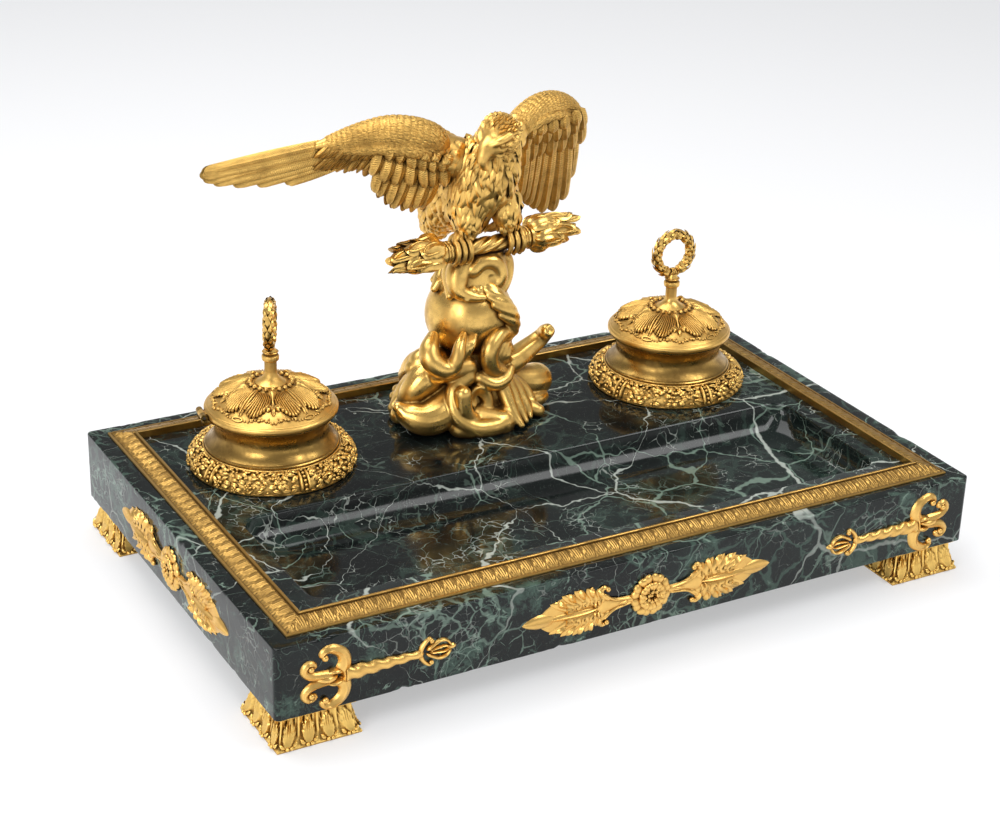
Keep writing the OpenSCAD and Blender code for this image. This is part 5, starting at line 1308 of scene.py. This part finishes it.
# The bank of cloud: its heap, the lobes at the front as the photograph shows them, and more of the same behind
roll(bm, (0, 0, 6, 30), (0, 0, 20, 27), (0, 1, 34, 19), sides=28)
for lobe in [
    [(-18, -18, 22, 9), (-29, -23, 13, 11), (-40, -23, 10.5, 10), (-49, -19, 13.5, 7.4), (-54, -16.5, 18, 3.6)],
    [(-20, -8, 30, 9), (-32, -11, 31, 10.5), (-41, -11, 24, 8.5), (-45, -8, 15, 6)],
    [(-22, -4, 36, 9), (-32, -5, 39, 8), (-38, -5, 35, 6)],
    [(-28, 4, 12, 10), (-41, -1, 9, 8), (-47, -3, 6, 5.4)],
    [(12, -10, 24, 9), (26, -8, 17, 9), (38, -6, 13, 10.5), (45, -4, 12, 10.5)],
    [(30, -16, 5, 6), (40, -15, 4.4, 5), (45, -13, 4.6, 4)],
    [(26, -22, 6, 7), (33, -29, 4, 4)],
    [(-8, -28, 6, 10), (4, -34, 4, 8.6), (8, -30, 5, 8)],
    [(-16, -26, 7, 9), (-22, -32, 5.4, 6.4), (-17, -37, 4.4, 5)],
]:
    roll(bm, *lobe)
for turn in (20, 55, 90, 128, 160):
    a, high = radians(turn), rng.uniform(14, 26)
    way = Vector((cos(a), sin(a), 0))
    curl = Vector((-way.y, way.x, 0)) * rng.choice((-7, 7))
    roll(bm, (*(way * 16 + UP * 26), 10), (*(way * 30 + UP * high), 10.5),
         (*(way * 39 + curl * 0.4 + UP * (high - 8)), 7.5), (*(way * 44 + curl + UP * (high - 10)), 4.4))
    roll(bm, (*(way * 22 + curl + UP * 8), 10), (*(way * 36 - curl + UP * 6), 7), (*(way * 42 - curl + UP * 6), 4))
# The big scroll in the middle, its lip and the tongues that run down at its right
spiral(bm, (-9, -31, 19), (-0.75, -0.2, 0.5), (-0.35, -0.25, -0.9), 15, 1.15, (5.2, 2.6), drift=-1)
roll(bm, (-14, -24, 33, 6), (-23.5, -27, 27, 4.6), (-25, -33, 15, 4.6), (-16, -37.5, 6.4, 5.4), (-2, -38, 4.4, 6),
     (8, -35, 6, 5))
for k in range(4):
    roll(bm, (8 + 3 * k, -21 + 2 * k, 33 - 3 * k, 4.5), (10 + 6 * k, -28 + 3 * k, 20 - 1.5 * k, 4.6 - 0.3 * k),
         (12 + 6.4 * k, -36 + 3.6 * k, 9 - k, 3.6), (14.5 + 5.2 * k, -42 + 4.4 * k, 3.4, 1.9), sides=16)
# Fists under the globe, the curl that stands at the right, and the horn behind it
roll(bm, (-31, -14, 57, 4), (-36, -20, 52.5, 6), (-36.5, -24, 47, 6.4), (-31.5, -27, 42.3, 6.2),
     (-25.5, -29, 43, 5), (-23, -30, 49, 4.2), (-20, -27, 55, 3.4), (-15, -22, 59, 2.2))
for k in range(3):
    roll(bm, (-21 + 3.2 * k, -27, 45 + 2 * k, 2.4), (-18 + 3 * k, -27.5, 52 + 1.2 * k, 2.2),
         (-13 + 3 * k, -22.5, 57 + k, 1.4), sides=12)
roll(bm, (-30, -18, 36, 7), (-22, -22, 38, 7), (-12, -22, 38, 6.5))
roll(bm, (20, -15, 50, 3), (15, -20, 54, 4.6), (7, -25, 56, 5), (0, -28.5, 51.5, 5.2), (-1.6, -29, 44, 5.2),
     (1.4, -28, 37, 5), (8, -26, 33, 4.4))
for k in (1, 2, 3):
    roll(bm, (17 + k, -17, 50 - 3 * k, 2.2), (10 + 1.5 * k, -23.5, 53.5 - 2.6 * k, 2.4),
         (4 + 2.6 * k, -26.5, 47 - 1.2 * k, 2.4), (4.6 + 2.6 * k, -26, 39 + 0.8 * k, 2.2),
         (10 + 2 * k, -23, 35 + k, 1.8), sides=12)
roll(bm, (-5, -26, 31, 4.6), (2, -30, 27.5, 4.2), (10, -29, 29, 3.6), (15, -25, 33, 3))
roll(bm, (12, -12, 30, 8), (24, -11, 31, 7.6), (34, -8, 34, 6.6), (42, -6, 37, 5.8), (47.5, -6, 40.6, 5.2),
     (48, -9, 44.5, 4.9), (47, -12.5, 46.5, 4.7), flutes=5, depth=0.03)
# Ribbed scrolls that hug the globe's right side
for k, (lean, tall, thick) in enumerate([(0, 25, 3.4), (12, 24, 3.4), (24, 23, 3.5), (36, 22, 3.6), (49, 20, 3.4),
                                         (61, 17, 3.0)]):
    beads = []
    for j in range(6):
        a = radians(-78 + lean * 0.55 + 9 * (j - 2.5) * (1 if k < 5 else 0.7))
        high = radians(48 - lean * 1.02 + (tall + 14) * (0.5 - j / 5) * 0.9)
        far = globe_r + 1.6 + (1 - (j / 2.5 - 1) ** 2) * 1.4
        beads.append((far * cos(high) * cos(a), far * cos(high) * sin(a),
                      globe_z + far * sin(high), thick * (0.55 + 0.45 * sin(pi * (j + 0.5) / 6))))
    roll(bm, *beads, steps=5, sides=14)
bank = fused(bm, 0.62, 3)
press(bank, (-9, -37, 22), 9, 6, (0.1, 1, -0.1))
press(bank, (47, -17, 49), 3.2, 1.6, (0, 1, -0.4))
bmesh.ops.bisect_plane(bank, geom=list(bank.verts) + list(bank.edges) + list(bank.faces), plane_co=(0, 0, 0.05),
                       plane_no=(0, 0, 1), clear_inner=True)
bmesh.ops.contextual_create(bank, geom=open_edges(bank))
finish_group(bank, "cloud_bank", cloud_gilt, "cloud_base")

bm = new_mesh()
ball(bm, (0, 0, globe_z), globe_r, 96)
globe_gilt = gilt("globe_gilding", (0.94, 0.60, 0.175), (0.16, 0.08, 0.02), reach=0.003, stain=0.4, sheen=0.24,
                  grain=0.12)
finish_group(bm, "globe_cast", globe_gilt, "globe")

# The column: a twisted roll of cloud with a volute at the front and a skirt that hangs over the globe
bm = new_mesh()
roll(bm, (1, -1, 76, 20), (3, -2, 88, 18.5), (5, -1, 98, 16), sides=28, flutes=3, depth=0.04)
spiral(bm, (4, -17, 90), (-0.9, 0.3, 0.45), (0.45, 0, 1), 11, 1.15, (5.2, 2.6), drift=3)
for k in range(5):
    a = radians(22 + 38 * k)
    way, swirl = Vector((cos(a), sin(a), 0)), Vector((-sin(a), cos(a), 0))
    roll(bm, (*(way * 13 + Vector((4, -2, 98))), 6), (*(way * 16 + swirl * 3 + Vector((3, -2, 90))), 6.4),
         (*(way * 17 + swirl * 9 + Vector((1, -2, 84))), 4.6), (*(way * 18 + swirl * 13 + Vector((0, -1, 80))), 2.4))
roll(bm, (-9, -9, 99, 6.4), (-14, -11, 92, 7), (-15, -15, 84, 5.4), (-9, -19, 80.5, 3.4), (-2, -21.5, 79.5, 2.2))
roll(bm, (15, -7, 99, 5.4), (20, -6, 93, 5.4), (19, -9, 85, 4.6), (12, -16, 80, 3.6), (4, -21, 79, 2.4))
for k in range(5):
    roll(bm, (-13 + 5 * k, -17.6 - 0.9 * sin(k), 83.5, 2.6), (-12.5 + 5 * k, -20.4, 79.4, 1.7), sides=12)
column = fused(bm, 0.6, 4)
press(column, (4, -24, 90), 6, 4, (0, 1, 0))
bmesh.ops.bisect_plane(column, geom=list(column.verts) + list(column.edges) + list(column.faces),
                       plane_co=(0, 0, column_top), plane_no=(0, 0, 1), clear_outer=True)
bmesh.ops.contextual_create(column, geom=open_edges(column))
finish_group(column, "cloud_pillar", cloud_gilt, "cloud_column")


# The thunderbolt
# A twisted grip between two sheaves of leaf-like flames, each bound with a ribbed collar, cast in one and gilt.
# It lies in a hollow on top of the column of cloud, and the eagle's feet hold it there.
bolt_z, bolt_fore, bolt_r, bolt_yaw = 108, 12, 5, 4
at_bolt = Matrix.Translation((3, -bolt_fore, bolt_z)) @ Matrix.Rotation(radians(bolt_yaw), 4, "Z")


def outward(spot):
    """Straight out from the thunderbolt's axis."""
    return Vector((0, spot.y, spot.z + 1e-6)).normalized()


def shaft(bm, start, end, radius, steps):
    """A closed round length along X; radius is a function of x and the angle."""
    def place(u, v):
        x, a = start + (end - start) * v, 2 * pi * u
        r = radius(x, a) * min(1, 9 * v, 9 * (1 - v)) ** 0.5
        return Vector((x, r * cos(a), r * sin(a)))
    surface(bm, 60, steps, place)


bm = new_mesh()
shaft(bm, -34, 34, lambda x, a: bolt_r * (0.76 + 0.24 * abs(cos(2.5 * a + 0.34 * x)) ** 0.7), 96)
for end in (-1, 1):
    shaft(bm, end * 22.5, end * 31, lambda x, a: 5.9 + 0.7 * abs(sin(pi * (x - 22.5) / 2.1)) ** 0.6, 44)
    shaft(bm, end * 28.5, end * 33, lambda x, a: 7.4, 16)
    roll(bm, (end * 30, 0, 0, 6), (end * 42, 0, 0.5, 6.4), (end * 54, 0, 1, 3.6), (end * 63, 0, 1.5, 1), sides=12)
    for count, start, reach, wide, far, high in [(5, 29, 50, 5.9, 9.4, 2.6), (5, 35, 59, 4.8, 8.4, 2.3),
                                                 (4, 43, 66, 3.6, 6.2, 2.0)]:
        for k in range(count):
            a = 2 * pi * (k + 0.3 * end + start / 9) / count
            out = Vector((0, cos(a), sin(a)))
            swing = Vector((0, -sin(a), cos(a)))
            long = reach - start - rng.uniform(0, 4)
            line = through(*[Vector((end * (start + long * f), 0, 0.03 * (start + long * f))) + out * (far * g) +
                             swing * s for f, g, s in [(0, 0.5, 0), (0.25, 0.86, 0.6), (0.55, 0.9, 0.2),
                                                       (0.8, 0.82, 1.6), (1, 1.06, 3.4)]])
            blade(bm, line, outward, swell(wide, 0.9, 0.42), swell(high, 0.8, 0.6), across=8, along=16, rib=0.5,
                  cup=0.1, sink=0.5)
            for side in (-1, 1):
                blade(bm, through(*[line(t) + swing * (side * wide * 0.5 * w) + out * 1.1
                                    for t, w in [(0.12, 0.5), (0.4, 1.0), (0.7, 0.85), (0.9, 0.2)]]), outward,
                      swell(0.9), swell(1.2), across=4, along=10, sink=0.2)
bmesh.ops.transform(bm, matrix=at_bolt, verts=bm.verts)
finish_group(bm, "thunderbolt_cast", cloud_gilt, "thunderbolt")


# The eagle
# A cast and gilt body with its head turned to the left and down, chased all over with overlapping feathers. Long
# ruffled ones hang on the breast and thighs, and scaled toes close round the thunderbolt's grip.
across_turns, barb_turns, slant, barb_depth = 2.25, 7.2, 14, 0.55


def barbs(tree):
    """Fine slanting cuts to both sides of each feather's quill, measured in millimetres along it."""
    calc = partial(math_node, tree)
    spot = node(tree, "ShaderNodeSeparateXYZ")
    tree.links.new(node(tree, "ShaderNodeUVMap", uv_map="along").outputs[0], spot.inputs[0])
    aside = calc("ABSOLUTE", calc("SUBTRACT", calc("MULTIPLY", spot.outputs[0], across_turns), 1))
    run = calc("ADD", calc("MULTIPLY", spot.outputs[1], -barb_turns), calc("MULTIPLY", aside, slant))
    return calc("MULTIPLY", calc("SINE", run), barb_depth)


feather_gilt = gilt("feather_gilding", (0.84, 0.52, 0.142), (0.06, 0.028, 0.008), reach=0.005, stain=0.4, sheen=0.36,
                    grain=0.6, chase=0.8, relief=barbs)
plume_gilt = gilt("plumage_gilding", (0.92, 0.575, 0.16), (0.06, 0.028, 0.008), reach=0.004, stain=0.4, sheen=0.36,
                  grain=0.4, chase=0.5)
trunk = [(-9, 27, 108.8, 8), (-8, 24, 115.6, 12), (-6, 17, 125.8, 15), (-2, 6, 134.9, 17.4), (1, -4, 142, 18.8),
         (2.5, -11, 151.2, 18), (3.5, -16, 160.3, 15.5), (4, -20, 168.6, 12.6), (3.5, -23, 176, 10.8),
         (2.5, -25, 180.5, 9)]
thighs = [[(-7, -2, 143, 9), (-8.5, -7, 133, 9.6), (-8, -12, 125, 7.6), (-9, -12, 117, 4.4)],
          [(12, -2, 143, 9), (15, -9, 133, 10), (17, -13, 125.5, 8), (17.5, -12, 117, 4.4)]]
shoulders = [[(0, -6, 154, 13), (-16, -5, 162.5, 11.5), (-26, -5, 169, 8), (-29, -5, 172, 5)],
             [(4, -6, 154, 12), (18, -3, 164, 10.4), (26, -1, 172.5, 7.6), (28, 0, 175.5, 5)]]
skull = Vector((2.5, -27, 177.6))
look = Vector((-0.80, -0.36, -0.48)).normalized()
across_head = look.cross(UP).normalized()
crest = across_head.cross(look)


def on_head(ahead, aside, high, r=None):
    """A place on the head by its own directions, with a radius if one is given."""
    spot = skull + look * ahead + across_head * aside + crest * high
    return (*spot, r) if r else spot


tail = [(-2, 16, 132, 12), (2, 8, 124, 10), (4.5, 3, 116, 7)]
heap = new_mesh()
for line in [trunk, tail] + thighs + shoulders:
    roll(heap, *line, sides=28)
roll(heap, on_head(-4, 0, 0, 9), on_head(2, 0, 1, 9.4), on_head(7, 0, 0.4, 7.4), sides=28)
roll(heap, on_head(6, 0, 0.6, 6.8), on_head(11, 0, 1.6, 5.6), on_head(16, 0, 1, 4.2), on_head(19.4, 0, -2.2, 2.9),
     on_head(19.8, 0, -6.4, 1.7), on_head(18.6, 0, -9.6, 0.5), sides=18)
roll(heap, on_head(6, 0, -4, 5), on_head(11, 0, -4.2, 3.2), on_head(14, 0, -4.6, 1.4))
for side in (-1, 1):
    roll(heap, on_head(12, side * 3.6, 4.4, 1.5), on_head(7.5, side * 7.2, 4.6, 2.3), on_head(1, side * 9.4, 4, 2.0))
    roll(heap, on_head(12, side * 3.4, -2.2, 1.3), on_head(7, side * 6.2, -2.4, 1.6),
         on_head(3, side * 7.6, -1.4, 1.2))
skin = fused(heap, 0.7, 3)
for side in (-1, 1):
    press(skin, on_head(6.6, side * 7.4, 1.4), 3.4, 1.6, across_head * -side)
    for k in range(7):
        press(skin, on_head(9 + 1.2 * k, side * (6 - 0.62 * k), -3 - 0.12 * k), 1.3, 0.9, across_head * -side)
hide = BVHTree.FromBMesh(skin)


def plume(bm, hide, at, flow, long, wide, lift, pointed, crown):
    """A small feather that lies on the eagle's skin and whose tip stands off it."""
    here, out = hide.find_nearest(at)[:2]
    mid, out_mid = hide.find_nearest(here + flow * (0.5 * long))[:2]
    tip, out_tip = hide.find_nearest(here + flow * long)[:2]
    line = through(here - out * 0.3, mid + out_mid * (0.45 + 0.5 * lift), tip + out_tip * lift)
    blade(bm, line, out_mid, lambda t: wide / 2 * sin(pi * min(1, 0.12 + 0.88 * t) ** pointed) ** 0.65,
          lambda t: crown * sin(pi * min(1, 0.1 + 0.9 * t)) ** 0.7, across=4, along=5, rib=0.7, sink=0.25)


def coat(bm, hide, line, start, end, flow, long, wide, lift, pointed, jitter):
    """Rows of plumes round a roll from one share of its length to another, each row over the next one's roots."""
    path, at = through(*line), start
    span = sum((Vector(b[:3]) - Vector(a[:3])).length for a, b in zip(line, line[1:]))
    row = 0
    while at <= end:
        spot = path(at)
        ahead = (path(min(1, at + 0.03)) - path(max(0, at - 0.03))).xyz.normalized()
        side = ahead.cross(Vector((0, 1, 0.2))).normalized()
        f = (at - start) / (end - start)
        l, w = long[0] + (long[1] - long[0]) * f, wide[0] + (wide[1] - wide[0]) * f
        count = max(8, round(2 * pi * spot.w / (w * 0.86)))
        for k in range(count):
            a = 2 * pi * (k + 0.5 * (row % 2)) / count
            out = side * cos(a) + ahead.cross(side) * sin(a)
            seed = spot.xyz + out * spot.w
            way = (flow(seed, ahead) + Vector([rng.uniform(-jitter, jitter) for _ in range(3)])).normalized()
            plume(bm, hide, seed, way, l * rng.uniform(0.85, 1.2), w, lift * rng.uniform(0.5, 1.4), pointed,
                  min(0.65, 0.18 + lift))
        at += l * 0.5 / span
        row += 1


bm = new_mesh()
skin.to_mesh(poured)
bm.from_mesh(poured)
skin.free()
coat(bm, hide, trunk, 0.02, 0.34, lambda p, a: Vector((-0.1, 0.35, -1)), (9, 10), (4.6, 5), 0.8, 1.1, jitter=0.45)
coat(bm, hide, trunk, 0.34, 0.56, lambda p, a: Vector((-0.25, 0.2, -1)), (13, 13), (6.4, 5.8), 1.2, 1.2, jitter=0.45)
coat(bm, hide, trunk, 0.54, 0.88, lambda p, a: Vector((0, 0.1, -1)) - a * 0.4, (14, 9), (5, 3.4), 2.3, 0.8,
     jitter=0.6)
coat(bm, hide, trunk, 0.84, 1, lambda p, a: -look - UP * 0.5, (6.5, 6), (2.4, 2.0), 0.6, 0.9, jitter=0.35)
for line in thighs:
    coat(bm, hide, line, 0.25, 0.9, lambda p, a: Vector((0, -0.15, -1)), (14, 9), (5, 3.4), 1.9, 0.8, jitter=0.45)
for line in shoulders:
    coat(bm, hide, line, 0.2, 0.9, lambda p, a: Vector((line[-1][0] * 0.018, 0.1, -1)), (14, 12), (7, 6.2), 1.3, 1.2,
         jitter=0.4)
for ring in range(9):
    back = 5.5 - 1.9 * ring
    for k in range(20):
        a = radians(-80 + 340 * (k + 0.5 * (ring % 2)) / 20)
        seed = on_head(back, 9.5 * cos(a), 9.5 * sin(a))
        if back > 2 and abs(sin(a)) < 0.75:
            continue
        plume(bm, hide, seed, (-look + Vector([rng.uniform(-0.3, 0.3) for _ in range(3)]) - UP * 0.15).normalized(),
              6.4, 2.1, 0.35, 0.9, 0.8)
for side in (-1, 1):
    ball(bm, on_head(6.8, side * 6.4, 1.5), 2.0, 16)
for foot_at, line in zip((-18, 18), thighs):
    ankle = at_bolt.inverted() @ Vector(line[-1][:3])
    toes = new_mesh()
    for k, spread in enumerate((-3.9, 0, 3.9)):
        x = foot_at + spread
        beads = [(ankle.x * 0.5 + x * 0.5, ankle.y, ankle.z, 3.2)]
        beads += [(x + 0.2 * spread * j / 5, -7.6 * sin(radians(20 + 27 * j)),
                   7.6 * cos(radians(20 + 27 * j)), 1.95 - 0.1 * j - 0.2 * (j % 2)) for j in range(6)]
        roll(toes, *beads, steps=6, sides=14)
        roll(toes, beads[-1], (x, -3.5, -7.4, 1.2), (x, -0.5, -7.6, 0.4), sides=10)
    roll(toes, (ankle.x * 0.5 + foot_at * 0.5, 1, 8, 3), (foot_at, 6.4, 4.6, 2.4), (foot_at, 7.4, -1.5, 1.8),
         (foot_at, 5.6, -5.6, 0.5))
    bmesh.ops.transform(toes, matrix=at_bolt, verts=toes.verts)
    pour(bm, toes)
finish_group(bm, "eagle_figure", plume_gilt, "eagle_body")


# The wings
# Two gilt castings let into the shoulders: an arm chased with small flat feathers, short fringed coverts under it,
# broad rounded feathers near the body and long ones that overlap to the tip. Both faces have their feathers.
back_off, lap = 2.4, 0.16


def tip_ease(t):
    """Brings the steps along a feather closer together towards its tip."""
    return sin(pi / 2 * t) ** 0.85


def feather(bm, root, tip, wide, facing, lift, bow, blunt, high, tilt):
    """One long feather from root to tip, raised by lift; its tilt lays one edge over the next feather."""
    way = tip - root
    side = way.cross(facing).normalized()
    off = facing * lift
    line = through(root + off * 0.6, root.lerp(tip, 0.5) + off + facing * bow, tip + off)

    def half(t):
        t = tip_ease(t)
        near = 1 - min(1, (1 - t) / blunt)
        return wide / 2 * (0.78 + 0.22 * sin(pi * t)) * sqrt(max(0, 1 - near * near)) * min(1, 20 * t)
    blade(bm, lambda t: line(tip_ease(t)), facing + side * tilt, half,
          lambda t: high * min(1, 12 * t, 6 * (1 - tip_ease(t))) ** 0.6, across=8, along=16, rib=0.55, sink=0.4)


def feather_row(bm, count, roots, tips, wide, facing, lift, bow, blunt, high, stray):
    """A row of feathers on both faces of a wing, their roots and tips along two lines."""
    root_line, tip_line = through(*roots), through(*tips)
    for face in (1, -1):
        for k in range(count):
            s = k / (count - 1)
            jog = Vector([rng.uniform(-stray, stray) for _ in range(3)])
            way = facing * face
            apart = way * (0 if face > 0 else back_off)
            feather(bm, root_line(s) + apart, tip_line(s) + apart + jog, wide * rng.uniform(0.92, 1.08), way,
                    lift + 0.25 * (k % 2), bow * face, blunt, high, lap * face)


def wing(name, arm, web, rows, facing, replaced):
    """A wing from its arm, the web under its feathers and the rows of feathers, and its finished piece."""
    facing = Vector(facing).normalized()
    heap = new_mesh()
    for line in arm:
        roll(heap, *line, sides=24)
    for a, b in web:
        roll(heap, (*a, 2.2), (*(0.5 * (Vector(a) + Vector(b))), 2.0), (*b, 1.2), sides=12)
    bm = fused(heap, 0.7, 3)
    hide = BVHTree.FromBMesh(bm)
    for line in arm:
        coat(bm, hide, line, 0.12, 0.9, lambda p, a: a.normalized() + UP * 0.1, (6, 5), (1.9, 1.5), 0.06, 0.9,
             jitter=0.12)
    for row in rows:
        feather_row(bm, *row[:4], facing, *row[4:])
    finish_group(bm, name, feather_gilt, replaced)


left_arm = [[(-24, -7, 168, 6), (-29, -9, 174, 8.2), (-40, -9, 178.8, 9.2), (-54, -5, 181.2, 8.8),
             (-67, 0, 179.6, 7.4), (-81, 4, 176.6, 5.4), (-93, 7, 174.5, 2.4)],
            [(-28, -13, 167, 4), (-44, -13.5, 171.5, 4.2), (-60, -6.5, 173.2, 4), (-76, 0, 172, 3),
             (-88, 4, 172, 1.6)]]
left_web = [((-30 - 6 * k, -6 + 1.2 * k, 170), (-34 - 3.6 * k, -2 + k, 142 + 1.6 * k)) for k in range(8)]
left_web += [((-78, 5, 175 - 1.8 * k), (-134, 17, 163 - 1.4 * k)) for k in range(4)]
wing("left_wing_cast", left_arm, left_web, [
    (7, [(-82, 5, 176), (-78, 4, 165)], [(-155.5, 19.4, 164), (-156, 19.6, 160.5), (-149, 18.6, 157.4),
     (-132, 16.5, 154.6), (-110, 12.5, 154.6)], 7.6, 0.4, -0.6, 0.06, 1.3, 0.3),
    (7, [(-58, -2, 164), (-26, -6, 154)], [(-60, 2.4, 144.5), (-49, 0.6, 134.2), (-33, -3.4, 131)], 9.2, 0.2, 1.6,
     0.34,
     2.4, 1.2),
    (7, [(-60, -3, 172), (-26, -8, 163)], [(-65.5, 1, 154), (-52, -2, 149), (-36, -5.6, 146.4), (-24, -8, 146)], 8.6,
     2.6, 2.0, 0.36, 2.4, 1.2),
    (17, [(-84, 4.6, 173), (-54, -4, 171)], [(-98, 8.6, 161), (-78, 4, 158.5), (-64, 0, 158.5)], 3.7, 1.6, 0.6, 0.3,
     1.2, 1.0),
    (14, [(-88, 5, 175), (-56, -5, 173)], [(-97, 8, 166.6), (-62, -2, 164.5)], 3.3, 3.0, 0.6, 0.3, 1.1, 0.8),
    (6, [(-56, -7, 173), (-27, -11, 166)], [(-57, -3, 163), (-42, -6.5, 158), (-26, -10, 155)], 8.4, 4.2, 1.4, 0.4,
     2.2, 1.4),
    (4, [(-46, -10, 172), (-28, -13, 166)], [(-44, -9, 166), (-26, -13, 161)], 7.6, 5.2, 1.0, 0.4, 2.0, 1.0),
], (0.1, -1, 0.3), "eagle_wing_left")

right_arm = [[(22, -3, 166, 6), (31, 1, 173.6, 7.2), (44.4, 6, 179.2, 7.4), (57.3, 10, 180, 7), (69, 13, 175.6, 6.4),
              (76.6, 15, 167.5, 5.4), (80, 18, 157, 3.4)],
             [(30, -4, 169, 3), (44, -0.5, 174, 3.2), (58, 4, 174.6, 3.2), (69, 8, 170, 3), (75, 12, 162, 2.4)]]
right_web = [((34 + 5.4 * k, 4 + 1.6 * k, 172), (39 + 4.8 * k, 11 + 1.9 * k, 140 - 1.8 * k)) for k in range(9)]
wing("right_wing_cast", right_arm, right_web, [
    (8, [(77, 15.5, 166), (38, 5.5, 168)], [(81, 25, 126), (75.5, 26.4, 108.5), (64, 25, 106.5), (54, 21.5, 112),
     (46, 17, 118), (39, 13, 124)], 8.6, 0.4, 0.5, 0.10, 1.6, 0.3),
    (7, [(77, 13, 172), (34, 3.4, 170)], [(83, 19.5, 150), (68, 16.5, 147), (50, 11.5, 148), (37, 7.5, 146)], 8.4,
     1.8,
     0.7, 0.24, 1.6, 0.8),
    (7, [(76, 11, 176), (34, 1.6, 175)], [(81, 16, 161), (60, 11.5, 157), (36, 4, 158)], 7.8, 3.2, 0.8, 0.3, 1.6,
     1.2),
    (5, [(70, 8, 176), (36, 0, 174)], [(72, 10, 167), (52, 6, 166), (36, 1.4, 166)], 7.6, 4.2, 0.8, 0.34, 1.5, 1.2),
], (0.1, -1, -0.2), "eagle_wing_right")
